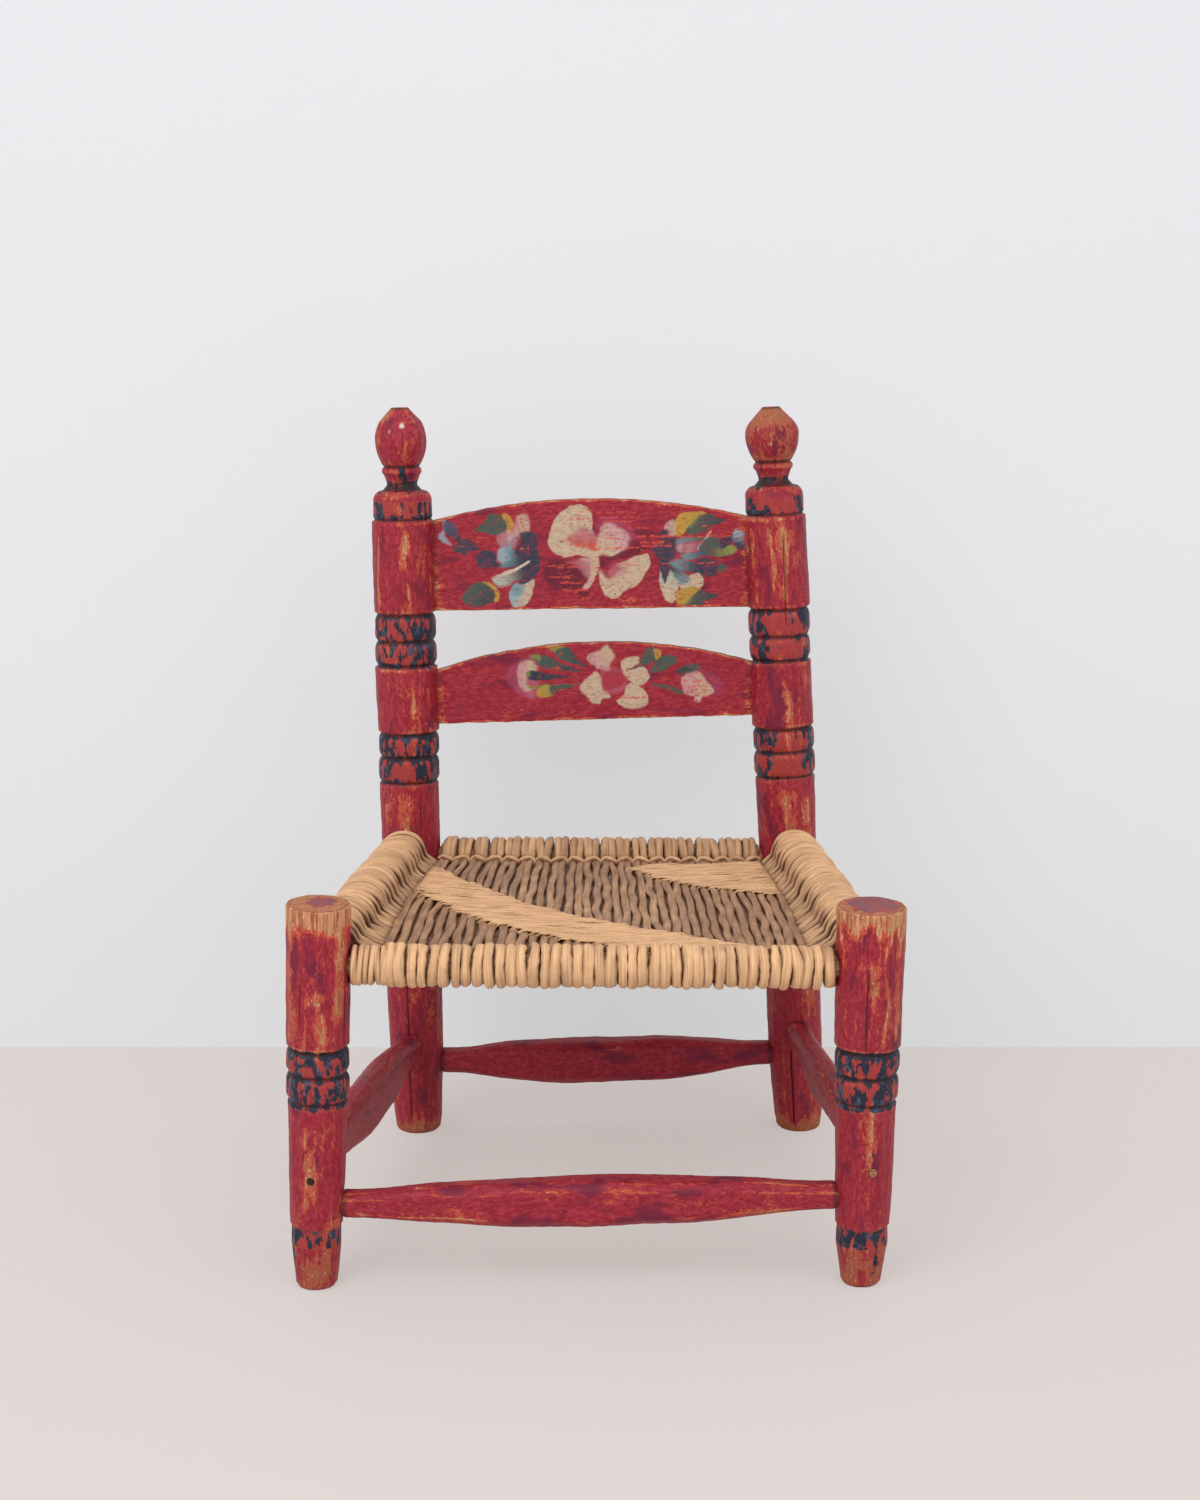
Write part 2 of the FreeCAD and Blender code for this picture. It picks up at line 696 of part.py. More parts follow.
def finished_post(post, outline, cuts):
    """A turned blank stood on the floor along its axis, cut off by the floor and mortised."""
    axis = AXES[post]
    blank = turned_body(post + "_blank", outline)
    blank.Placement = turned_frame(axis.foot - axis.direction * value("overrun"), axis.direction)
    ground = doc.addObject("Part::Box", post + "_ground")
    reach = cell("back_shaft_radius") * 4
    for prop, size in (("Length", reach), ("Width", reach), ("Height", cell("overrun") * 2)):
        bind(ground, prop, size)
    ground.Placement.Base = axis.foot - FreeCAD.Vector(reach.value / 2, reach.value / 2, ground.Height.Value)
    shape = blank
    for tool in [ground] + cuts[post]:
        cut = doc.addObject("Part::Cut", tool.Name + "_cut")
        cut.Base = shape
        cut.Tool = tool
        shape = cut
    shape.Label = post + "_post"
    return shape


# Woven seat: ribbed solids whose ribs are the crowns of the palm strands.

def strand_stations(length, strand):
    """Places along a wound or woven length, with whether each is on a strand's crown."""
    count = max(1, round(length / value(strand)))
    pitch = length / count
    stations = []
    for strand in range(count):
        stations.append((strand * pitch, False))
        stations += [((strand + share) * pitch, True) for share in CROWN_SHARES]
    return stations + [(length, False)]


def wound_sleeve(label, start, end, inner, outer):
    """Strand wound round a rail: a ribbed sleeve turned about the rail's axis."""
    length = (end - start).Length
    points = [FreeCAD.Vector(0, 0, inner)]
    for place, crown in strand_stations(length, "wrap_strand"):
        points.append(FreeCAD.Vector(place, 0, outer if crown else outer - value("strand_groove")))
    points.append(FreeCAD.Vector(length, 0, inner))
    profile = Part.Face(Part.makePolygon(points + points[:1]))
    sleeve = doc.addObject("Part::Feature", label)
    sleeve.Label = label
    sleeve.Shape = profile.revolve(FreeCAD.Vector(), FreeCAD.Vector(1, 0, 0), 360)
    sleeve.Placement = frame_between(start, end)
    return sleeve


def perpendicular(along):
    """The most upright direction square to another."""
    return (UP - along * UP.dot(along)).normalize()


def rolled_end(center, out, above, radius, half):
    """The arc of a strand round a rail, from the panel's top round to its underside."""
    neck = math.sqrt(radius ** 2 - half ** 2)
    upper, lower = center - out * neck + above * half, center - out * neck - above * half
    return Part.Arc(upper, center + out * radius, lower)


def strand_loop(front, back, radius, half):
    """One warp strand: round the front rail, flat across the seat, round the back rail."""
    out = (back - front).normalize()
    above = perpendicular(out)
    back_arc = rolled_end(back, out, above, radius, half)
    front_arc = rolled_end(front, out * -1, above * -1, radius, half)
    edges = [
        Part.LineSegment(front_arc.EndPoint, back_arc.StartPoint).toShape(),
        back_arc.toShape(),
        Part.LineSegment(back_arc.EndPoint, front_arc.StartPoint).toShape(),
        front_arc.toShape(),
    ]
    return Part.Wire(edges)


def side_loop(rail_point, panel_point, radius, half):
    """One side strand: round the side rail and flat in to the edge of the warp."""
    out = (rail_point - panel_point).normalize()
    above = perpendicular(out)
    arc = rolled_end(rail_point, out, above, radius, half)
    inner_top, inner_low = panel_point + above * half, panel_point - above * half
    edges = [
        Part.LineSegment(inner_top, arc.StartPoint).toShape(),
        arc.toShape(),
        Part.LineSegment(arc.EndPoint, inner_low).toShape(),
        Part.LineSegment(inner_low, inner_top).toShape(),
    ]
    return Part.Wire(edges)


def along_line(line, share):
    return line[0] + (line[1] - line[0]) * share


def rail_bore(line, radius):
    """The round space that a rail takes up in the weave."""
    along = (line[1] - line[0]).normalize()
    start = line[0] - along * value("overrun")
    length = (line[1] - line[0]).Length + value("overrun") * 2
    return Part.makeCylinder(radius + value("weave_clearance"), length, start, along)


def warp(label, front_line, back_line):
    """The strands that run front to back and round both rails, fanning out to the front."""
    width = (front_line[1] - front_line[0]).Length
    wires = []
    for place, crown in strand_stations(width, "warp_strand"):
        share = place / width
        sunk = 0 if crown else value("strand_groove")
        radius, half = value("warp_radius") - sunk, value("panel_half") - sunk
        wires.append(strand_loop(along_line(front_line, share), along_line(back_line, share), radius, half))
    weave = doc.addObject("Part::Feature", label)
    weave.Label = label
    bores = [rail_bore(line, value("front_rail_radius")) for line in (front_line, back_line)]
    weave.Shape = Part.makeLoft(wires, True, True).cut(bores)
    return weave


def side_weft(label, rail_line, edge_line):
    """The cross strands where they wind round a side rail and reach in to the warp's edge."""
    length = (rail_line[1] - rail_line[0]).Length
    wires = []
    for place, crown in strand_stations(length, "weft_strand"):
        share = place / length
        sunk = 0 if crown else value("strand_groove")
        taper = value("side_weft_back_radius") - value("side_weft_front_radius")
        radius = value("side_weft_front_radius") + taper * share - sunk
        edge = along_line(edge_line, WEB_SHARES[0] + (WEB_SHARES[1] - WEB_SHARES[0]) * share)
        wires.append(side_loop(along_line(rail_line, share), edge, radius, value("panel_half") - sunk))
    weave = doc.addObject("Part::Feature", label)
    weave.Label = label
    weave.Shape = Part.makeLoft(wires, True, True).cut(rail_bore(rail_line, value("side_rail_radius")))
    return weave


def band(label, corner_shares, front_line, back_line, side):
    """A flat band of the cross strands, laid on the warp's top or underside (side 1 or -1)."""
    lift = side * (value("panel_half") + value("band_lift"))
    thickness = side * value("float_thickness")
    gap = value("float_side_gap")
    corners = []
    for across, depth in corner_shares:
        left = front_line[0] + (back_line[0] - front_line[0]) * depth
        right = front_line[1] + (back_line[1] - front_line[1]) * depth
        along = (right - left).normalize()
        reach = (right - left).Length - gap * 2
        corners.append(left + along * (gap + reach * across))
    # the seat's own plane, tilted a little from front to back and from side to side
    normal = (front_line[1] - front_line[0]).cross(back_line[0] - front_line[0]).normalize()
    heights = [(corner - corners[0]).dot(normal) for corner in corners]
    flat = [corner - normal * height + normal * lift for corner, height in zip(corners, heights)]
    outline = Part.Face(Part.makePolygon(flat + flat[:1]))
    laid = doc.addObject("Part::Feature", label)
    laid.Label = label
    laid.Shape = outline.extrude(normal * thickness)
    return laid


def twining(label, front_line, back_line):
    """The cord that binds the warp strands together in front of the back rail."""
    ends = []
    for front, back in zip(front_line, back_line):
        along = (front - back).normalize()
        above = perpendicular(along)
        lift = value("panel_half") + value("weave_clearance") + value("twining_radius")
        ends.append(back + along * value("twining_setback") + above * lift)
    cord = doc.addObject("Part::Cylinder", label)
    cord.Label = label
    bind(cord, "Radius", cell("twining_radius"))
    cord.Height = (ends[1] - ends[0]).Length
    cord.Placement = turned_frame(ends[0], ends[1] - ends[0])
    return cord


def ends_of(first, last, heights):
    """Where a member's axis meets the axes of the two posts that it joins."""
    return AXES[first].at(heights[0]), AXES[last].at(heights[1])


def post_radius(post, front_word, back_word):
    return value("%s_%s_radius" % (post, front_word) if post in FRONT else "back_%s_radius" % back_word)


def joined(cuts, label, first, last, start, end, tenon_radius):
    """Drill both posts for a member's tenons."""
    cuts[first].append(mortise(label + "_start_mortise", start, end, tenon_radius))
    cuts[last].append(mortise(label + "_end_mortise", end, start, tenon_radius))


def wooden_members(cuts):
    """The stretchers, rails, slats and plugs, and the lines of the rails between the posts."""
    pieces = []
    stretchers = (
        ("front_stretcher", "front_left", "left", "front_right", "right"),
        ("back_stretcher", "back_left", "left", "back_right", "right"),
        ("left_stretcher", "front_left", "front", "back_left", "back"),
        ("right_stretcher", "front_right", "front", "back_right", "back"),
    )
    for label, *joint in stretchers:
        heights = [value("%s_%s" % (label, word)) for word in joint[1::2]]
        start, end = ends_of(*joint[::2], heights)
        radii = [post_radius(post, "shaft", "ankle") for post in joint[::2]]
        pieces.append(stretcher(label, start, end, *radii))
        joined(cuts, label, *joint[::2], start, end, "stretcher_tenon_radius")

    rails = (
        ("front_rail", "front_rail_radius", "front_left", "front_right"),
        ("back_rail", "front_rail_radius", "back_left", "back_right"),
        ("left_rail", "side_rail_radius", "front_left", "back_left"),
        ("right_rail", "side_rail_radius", "front_right", "back_right"),
    )
    lines = {}
    for label, radius, *joint in rails:
        start, end = ends_of(*joint, [height.value for height in LEVELS[label]])
        radii = [post_radius(post, "top", "waist") for post in joint]
        pieces.append(rail(label, start, end, radius, *radii))
        joined(cuts, label, *joint, start, end, "rail_tenon_radius")
        along = (end - start).normalize()
        lines[label] = (start + along * radii[0], end - along * radii[1])

    for label in ("upper_slat", "lower_slat"):
        board, frame, half, radius = slat(label)
        pieces.append(board)
        for side, post in ((-1, "back_left"), (1, "back_right")):
            cuts[post].append(slot("%s_%s_slot" % (label, post), label, post, side, frame, half, radius))

    for post in FRONT:
        pieces.append(plug(post, cuts))
    return pieces, lines


def woven_seat(lines):
    """The warp on the front and back rails, and everything that is wound or woven across it."""
    front_start, front_end = lines["front_rail"]
    back_start, back_end = lines["back_rail"]
    across = (front_end - front_start).normalize()
    across_back = (back_end - back_start).normalize()
    front_line = (
        front_start + across * value("warp_front_left"),
        front_end - across * value("warp_front_right"),
    )
    margin = value("warp_back_margin")
    back_line = (back_start + across_back * margin, back_end - across_back * margin)
    pieces = [warp("seat_warp", front_line, back_line)]

    clearance = value("weave_clearance")
    inner, outer = value("front_rail_radius") + clearance, value("corner_wrap_radius")
    # the warp's strands fan out, so their round ends lean over the corner wraps
    spread = (front_line[1] - front_line[0]).Length - (back_line[1] - back_line[0]).Length
    lean = outer * spread / (front_line[0] - back_line[0]).Length
    gap = value("rail_reveal")
    corners = (
        ("front_left_corner_wrap", front_start + across * gap, front_line[0] - across * (clearance + lean)),
        ("front_right_corner_wrap", front_line[1] + across * (clearance + lean), front_end - across * gap),
    )
    for label, start, end in corners:
        pieces.append(wound_sleeve(label, start, end, inner, outer))

    for number, side in enumerate(("left", "right")):
        start, end = lines[side + "_rail"]
        end_gap = (end - start).normalize() * value("weft_end_gap")
        outward = across * (value("panel_gap") * (1 if number else -1))
        edge_line = (front_line[number] + outward, back_line[number] + outward)
        pieces.append(side_weft(side + "_side_weft", (start + end_gap, end - end_gap), edge_line))
    pieces.append(band("front_weft_band", FRONT_BAND_SHARES, front_line, back_line, 1))
    pieces.append(band("back_weft_band", BACK_BAND_SHARES, front_line, back_line, 1))
    pieces.append(band("under_weft_band", UNDER_BAND_SHARES, front_line, back_line, -1))
    pieces.append(twining("back_twining", front_line, back_line))
    return pieces


tools = {post: [] for post in AXES}
pieces, rail_lines = wooden_members(tools)
doc.recompute()
for post in AXES:
    outline = front_outline(post) if post in FRONT else back_outline(post)
    pieces.append(finished_post(post, outline, tools))
pieces += woven_seat(rail_lines)
doc.recompute()

for obj in doc.Objects:
    if "Invalid" in obj.State or "Error" in obj.State:
        raise RuntimeError("%s failed: %s" % (obj.Name, obj.State))
for piece in pieces:
    if piece.Shape.isNull() or not piece.Shape.isValid():
        raise RuntimeError("%s has no valid shape" % piece.Label)

os.makedirs("parts", exist_ok=True)
for piece in pieces:
    piece.Shape.exportStep("parts/%s.step" % piece.Label)
    box = piece.Shape.BoundBox
    print("%-24s %d solids  x %.1f %.1f  y %.1f %.1f  z %.1f %.1f" % (
        piece.Label, len(piece.Shape.Solids), box.XMin, box.XMax, box.YMin, box.YMax, box.ZMin, box.ZMax))
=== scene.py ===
import math

import bpy
import numpy as np
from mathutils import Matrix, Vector


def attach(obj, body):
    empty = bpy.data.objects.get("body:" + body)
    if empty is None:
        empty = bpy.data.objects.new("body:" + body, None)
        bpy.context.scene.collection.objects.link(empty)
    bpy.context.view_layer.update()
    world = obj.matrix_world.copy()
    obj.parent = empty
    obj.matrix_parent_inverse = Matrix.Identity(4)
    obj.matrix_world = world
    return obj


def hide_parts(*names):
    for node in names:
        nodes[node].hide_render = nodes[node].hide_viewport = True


# A child's ladder-back chair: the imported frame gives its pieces, and this script gives them
# their looks. The chair's lengths below are millimetres until makePiece turns them into
# metres; the camera, the lights and the stage are in metres.

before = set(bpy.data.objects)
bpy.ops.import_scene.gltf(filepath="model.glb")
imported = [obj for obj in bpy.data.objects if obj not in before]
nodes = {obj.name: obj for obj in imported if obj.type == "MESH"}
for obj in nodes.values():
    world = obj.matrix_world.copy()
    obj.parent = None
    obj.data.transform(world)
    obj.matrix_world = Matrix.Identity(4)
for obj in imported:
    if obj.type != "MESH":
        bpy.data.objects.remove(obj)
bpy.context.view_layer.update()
mm = 0.001
turn = 2 * math.pi
print("frame loaded:", len(nodes), "nodes")


# Small tools for shapes

def unit(vector):
    vector = np.asarray(vector, float)
    return vector / np.linalg.norm(vector, axis=-1, keepdims=True)


def ease(value, low, high):
    # smoothstep: 0 below low, 1 above high, 3t^2 - 2t^3 between
    t = np.clip((value - low) / (high - low), 0, 1)
    return t * t * (3 - 2 * t)


def within(value, low, high, soft):
    # 1 between low and high, eased to 0 over a soft edge inside each end
    return ease(value, low, low + soft) * ease(-value, -high, -high + soft)


def turnFrom(theta, direction):
    # the angle from a direction, between minus and plus half a turn
    return (theta - direction + math.pi) % turn - math.pi


def roundFrom(theta, radius, degrees):
    # the same in millimetres round a post, from a direction in degrees
    return turnFrom(theta, math.radians(degrees)) * radius


def ripple(across, along, seed, cycles, lengths, waves=9):
    # a sum of sines with random phases, each a wave of whole cycles round and a length along,
    # scaled so that it stays within about -1 and 1
    random = np.random.default_rng(seed)
    total = 0
    for _ in range(waves):
        count = random.integers(cycles[0], cycles[1] + 1)
        length = random.uniform(*lengths) * random.choice((-1, 1))
        total = total + np.sin(count * across + turn * along / length + random.uniform(0, turn))
    return total / math.sqrt(waves) / 1.4


def makePiece(name, points, faces, marks, material, replaced):
    # points in millimetres, faces as lists of equal-sized index rows, marks as point attributes
    mesh = bpy.data.meshes.new(name)
    mesh.vertices.add(len(points))
    mesh.vertices.foreach_set("co", (points * mm).astype(np.float32).ravel())
    corners = np.concatenate([part.ravel() for part in faces]).astype(np.int32)
    counts = np.concatenate([np.full(len(part), part.shape[1]) for part in faces])
    starts = np.concatenate([[0], np.cumsum(counts)[:-1]]).astype(np.int32)
    mesh.loops.add(len(corners))
    mesh.loops.foreach_set("vertex_index", corners)
    mesh.polygons.add(len(counts))
    mesh.polygons.foreach_set("loop_start", starts)
    mesh.update(calc_edges=True)
    mesh.validate()
    mesh.shade_smooth()
    for key, data in marks.items():
        kind, field = {1: ("FLOAT", "value"), 2: ("FLOAT_VECTOR", "vector")}[data.ndim]
        layer = mesh.attributes.new(key, kind, "POINT")
        layer.data.foreach_set(field, data.astype(np.float32).ravel())
    piece = bpy.data.objects.new(name, mesh)
    bpy.context.scene.collection.objects.link(piece)
    mesh.materials.append(material)
    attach(piece, "root")
    if replaced:
        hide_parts(*replaced)


def gridFaces(rows, columns, closedRows=False):
    # quads between neighbouring points of a grid whose columns run round
    lastRow = rows if closedRows else rows - 1
    row, column = np.meshgrid(np.arange(lastRow), np.arange(columns), indexing="ij")
    near, far = row * columns, (row + 1) % rows * columns
    beside = (column + 1) % columns
    return np.stack([near + column, near + beside, far + beside, far + column], -1).reshape(-1, 4)


def capFaces(rows, columns):
    # one many-sided face over each end of such a grid
    first = np.arange(columns)[::-1]
    last = np.arange(columns) + (rows - 1) * columns
    return np.stack([first, last])


def repeatFaces(faces, count, size):
    # the same faces for each of many equal grids
    return (faces[None] + np.arange(count)[:, None, None] * size).reshape(-1, faces.shape[1])


# Small tools for materials

def paint(red, green, blue):
    # a screen colour of 0 to 255 as the linear colour that a shader wants
    screen = np.array([red, green, blue]) / 255
    linear = np.where(screen <= 0.04045, screen / 12.92, ((screen + 0.055) / 1.055) ** 2.4)
    return (*(float(part) for part in linear), 1.0)


def addNode(tree, kind, inputs=(), **settings):
    # a node with its settings, and its inputs by name or number, each a value or another node's output
    node = tree.nodes.new(kind)
    for key, value in settings.items():
        setattr(node, key, value)
    for key, value in dict(inputs).items():
        if isinstance(value, bpy.types.NodeSocket):
            tree.links.new(value, node.inputs[key])
        else:
            node.inputs[key].default_value = value
    return node


def calc(tree, operation, first, second=0.0, clamp=False):
    inputs = {0: first, 1: second}
    return addNode(tree, "ShaderNodeMath", inputs, operation=operation, use_clamp=clamp).outputs[0]


def plus(tree, first, second, clamp=False):
    return calc(tree, "ADD", first, second, clamp)


def times(tree, first, second, clamp=False):
    return calc(tree, "MULTIPLY", first, second, clamp)


def blendColours(tree, factor, first, second, kind="MIX"):
    inputs = {0: factor, 6: first, 7: second}
    return addNode(tree, "ShaderNodeMix", inputs, data_type="RGBA", blend_type=kind).outputs[2]


def between(tree, value, low, high, toLow=0.0, toHigh=1.0):
    inputs = {"Value": value, "From Min": low, "From Max": high, "To Min": toLow, "To Max": toHigh}
    return addNode(tree, "ShaderNodeMapRange", inputs, interpolation_type="SMOOTHSTEP").outputs[0]


def noiseOf(tree, vector, stretch, scale, detail=3.0, roughness=0.6):
    inputs = {0: vector, 1: stretch}
    stretched = addNode(tree, "ShaderNodeVectorMath", inputs, operation="MULTIPLY").outputs[0]
    inputs = {"Vector": stretched, "Scale": scale, "Detail": detail, "Roughness": roughness}
    return addNode(tree, "ShaderNodeTexNoise", inputs).outputs["Fac"]


def newGroup(name, inputs, outputs):
    tree = bpy.data.node_groups.new(name, "ShaderNodeTree")
    for label, kind in inputs:
        tree.interface.new_socket(label, in_out="INPUT", socket_type="NodeSocket" + kind)
    for label, kind in outputs:
        tree.interface.new_socket(label, in_out="OUTPUT", socket_type="NodeSocket" + kind)
    given = tree.nodes.new("NodeGroupInput").outputs
    made = tree.nodes.new("NodeGroupOutput").inputs
    return tree, given, made


def markOf(tree, name, output="Fac"):
    return addNode(tree, "ShaderNodeAttribute", attribute_name=name).outputs[output]


def finishMaterial(name, group, inputs, bump, specular=0.5):
    # a group's colour, roughness and height on a Principled BSDF
    material = bpy.data.materials.new(name)
    material.use_nodes = True
    tree = material.node_tree
    surface = tree.nodes["Principled BSDF"]
    look = addNode(tree, "ShaderNodeGroup", node_tree=group)
    for key, value in inputs.items():
        if isinstance(value, tuple) and len(value) == 2:
            tree.links.new(markOf(tree, *value), look.inputs[key])
        else:
            look.inputs[key].default_value = value
    relief = {"Strength": 1.0, "Distance": bump, "Height": look.outputs["Height"]}
    raised = addNode(tree, "ShaderNodeBump", relief)
    tree.links.new(look.outputs["Color"], surface.inputs["Base Color"])
    tree.links.new(look.outputs["Roughness"], surface.inputs["Roughness"])
    tree.links.new(raised.outputs[0], surface.inputs["Normal"])
    surface.inputs["Specular IOR Level"].default_value = specular
    return material


# Worn paint on wood

paintLook = {
    "crimson": paint(142, 24, 40), "pink": paint(168, 48, 62), "purple": paint(118, 26, 52),
    "primer": paint(196, 76, 58), "wood": paint(208, 150, 104), "darkWood": paint(156, 84, 58),
    "pale": paint(224, 196, 160), "navy": paint(33, 38, 54), "navyLight": paint(72, 84, 106),
    # a dark colour for grime and painted shade, laid on where the cavity mark is high
    "underNavy": paint(164, 60, 54), "grimeAndShade": paint(46, 20, 20),
    "streakScale": 650.0, "chipScale": 210.0, "blotchScale": 75.0, "speckScale": 900.0,
    "mottleScale": 520.0, "navyScale": 230.0,
    # how much streaks, chips, blotches and specks weigh in the field of layers, and where the
    # primer, the wood and the navy begin to show
    "weights": (0.13, 0.41, 0.24, 0.22), "primerFrom": (0.5, 0.52), "woodFrom": (0.56, 0.59),
    "navyFrom": (0.7, 0.72), "bump": 0.0004,
}


def wornPaintGroup(look):
    # paint over primer over wood. A field of chips and streaks along the grain plus the wear
    # mark says which layer shows; navy lies in dabs where the navy mark is high
    tree, given, made = newGroup(
        "wornPaint",
        (("Grain", "Vector"), ("Wear", "Float"), ("Navy", "Float"), ("Cavity", "Float"),
         ("Flower", "Color"), ("Flower Cover", "Float"), ("Bare", "Float")),
        (("Color", "Color"), ("Roughness", "Float"), ("Height", "Float")))
    grain = given["Grain"]
    streaks = noiseOf(tree, grain, (1, 1, 0.07), look["streakScale"], 5, 0.65)
    chips = noiseOf(tree, grain, (1, 1, 0.55), look["chipScale"], 5, 0.7)
    blotches = noiseOf(tree, grain, (1, 1, 0.4), look["blotchScale"], 4, 0.55)
    specks = noiseOf(tree, grain, (1, 1, 0.5), look["speckScale"], 3)
    mottles = noiseOf(tree, grain, (1, 1, 0.45), look["mottleScale"], 5, 0.75)
    field = times(tree, calc(tree, "SUBTRACT", given["Wear"], 0.3), 0.5)
    for part, weight in zip((streaks, chips, blotches, specks), look["weights"]):
        field = plus(tree, field, times(tree, part, weight))
    primerShows = between(tree, field, *look["primerFrom"])
    woodShows = between(tree, field, *look["woodFrom"])

    top = blendColours(tree, between(tree, mottles, 0.42, 0.6), look["crimson"], look["pink"])
    top = blendColours(tree, between(tree, blotches, 0.46, 0.34), top, look["purple"])
    painted = between(tree, given["Navy"], 0.02, 0.2, 0.0, 0.8)
    top = blendColours(tree, painted, top, look["underNavy"])
    flowerHolds = times(tree, given["Flower Cover"], between(tree, specks, 0.66, 0.61))
    flowerHolds = times(tree, flowerHolds, between(tree, mottles, 0.46, 0.62, 1.0, 0.7))
    top = blendColours(tree, flowerHolds, top, given["Flower"])
    wood = blendColours(tree, between(tree, streaks, 0.35, 0.62), look["darkWood"], look["wood"])
    wood = blendColours(tree, given["Bare"], wood, look["darkWood"])
    wood = blendColours(tree, between(tree, specks, 0.6, 0.68, 0.0, 0.7), wood, look["pale"])
    browned = times(tree, given["Bare"], 0.75)
    primer = blendColours(tree, browned, look["primer"], look["darkWood"])
    colour = blendColours(tree, primerShows, top, primer)
    colour = blendColours(tree, woodShows, colour, wood)

    patches = noiseOf(tree, grain, (1, 1, 0.42), look["navyScale"], 5, 0.62)
    reach = plus(tree, patches, times(tree, given["Navy"], 0.5))
    inZone = between(tree, given["Navy"], 0.01, 0.06)
    navyShows = times(tree, between(tree, reach, *look["navyFrom"]), inZone)
    navy = blendColours(tree, between(tree, chips, 0.5, 0.66), look["navy"], look["navyLight"])
    colour = blendColours(tree, navyShows, colour, navy)
    # the cavity mark darkens the paint: grime on the front posts' tops, painted shade in grooves, cracks,
    # the hole and joints
    shadeAndDirt = times(tree, given["Cavity"], between(tree, mottles, 0.3, 0.6, 0.5, 0.9), clamp=True)
    colour = blendColours(tree, shadeAndDirt, colour, look["grimeAndShade"])
    tree.links.new(colour, made["Color"])

    dull = plus(tree, times(tree, primerShows, 0.12), times(tree, woodShows, 0.12))
    tree.links.new(plus(tree, dull, between(tree, specks, 0.3, 0.7, 0.42, 0.56)), made["Roughness"])
    layers = plus(tree, primerShows, woodShows)
    rough = plus(tree, times(tree, streaks, 0.6), times(tree, mottles, 0.5))
    depth = calc(tree, "SUBTRACT", rough, times(tree, layers, 0.3))
    tree.links.new(plus(tree, depth, times(tree, navyShows, 0.25)), made["Height"])
    return tree


wornPaint = wornPaintGroup(paintLook)
paintedWood = finishMaterial("paintedWood", wornPaint, {
    "Grain": ("grain", "Vector"), "Wear": ("wear", "Fac"), "Navy": ("navy", "Fac"),
    "Cavity": ("cavity", "Fac"), "Flower": ("flower", "Color"), "Flower Cover": ("flowerCover", "Fac"),
    "Bare": ("bare", "Fac"),
}, paintLook["bump"], 0.28)
print("worn paint made")


def woodPiece(name, points, marks, node):
    # a painted piece from a grid of points, closed at both ends; its marks are grids too
    size = points.shape[0] * points.shape[1]
    marks = {key: data.reshape(size, -1).squeeze() for key, data in marks.items()}
    makePiece(name, points.reshape(-1, 3), [gridFaces(*points.shape[:2]), capFaces(*points.shape[:2])],
              marks, paintedWood, [node])


# Posts

# the painter's colours, for the flowers and for splashes beside them
colours = {
    "cream": (194, 172, 144), "pale": (168, 178, 160), "blush": (196, 152, 150), "pink": (176, 98, 116),
    "plum": (92, 22, 42), "leaf": (60, 86, 76), "deepLeaf": (42, 66, 70), "teal": (92, 138, 142),
    "yellow": (184, 146, 60), "lime": (130, 144, 66), "blue": (38, 55, 72), "ice": (142, 170, 182),
    "slate": (58, 80, 98), "rose": (164, 42, 60), "haze": (160, 66, 98), "white": (208, 204, 184),
    "dusk": (132, 82, 88), "scratch": (214, 78, 60),
}
feet = {"frontSpread": 327.4, "backSpread": 261.5, "frontShift": -3.2, "backShift": 9.5,
        "frontRow": -146.3, "backRow": 109.3, "rowSkew": 3.5, "rake": 40.0}
turned = {"grooveDepth": 2.1, "grooveHalf": 1.7, "beadRound": 5.2, "rim": 3.2, "step": 1.1, "columns": 96}
frontTurning = {"middle": 135.4, "upper": 15.9, "lower": 16.7, "ankle": 38.6, "ball": 27.0, "topRim": 1.4}
backTurning = {
    "toe": 16.2, "toeHeight": 9.0, "ankle": 18.2, "ankleHeight": 52.0, "waist": 19.9, "shaft": 20.7,
    "bead": 20.5, "lowerBeads": (259.0, 15.8, 17.1), "upperBeads": (336.9, 18.1, 16.3),
    "shoulderGroove": 417.9, "shoulder": 19.4, "shoulderTop": 430.2, "shoulderStart": (437.2, 12.6),
    "neck": 9.9, "neckHeight": 440.4, "neckStraight": 1.6, "collar": 13.1, "collarHeight": 5.0,
    "base": 452.4, "baseRadius": 11.4, "widest": 470.2, "cone": 14.0, "coneHeight": 8.9, "tip": 5.6,
}
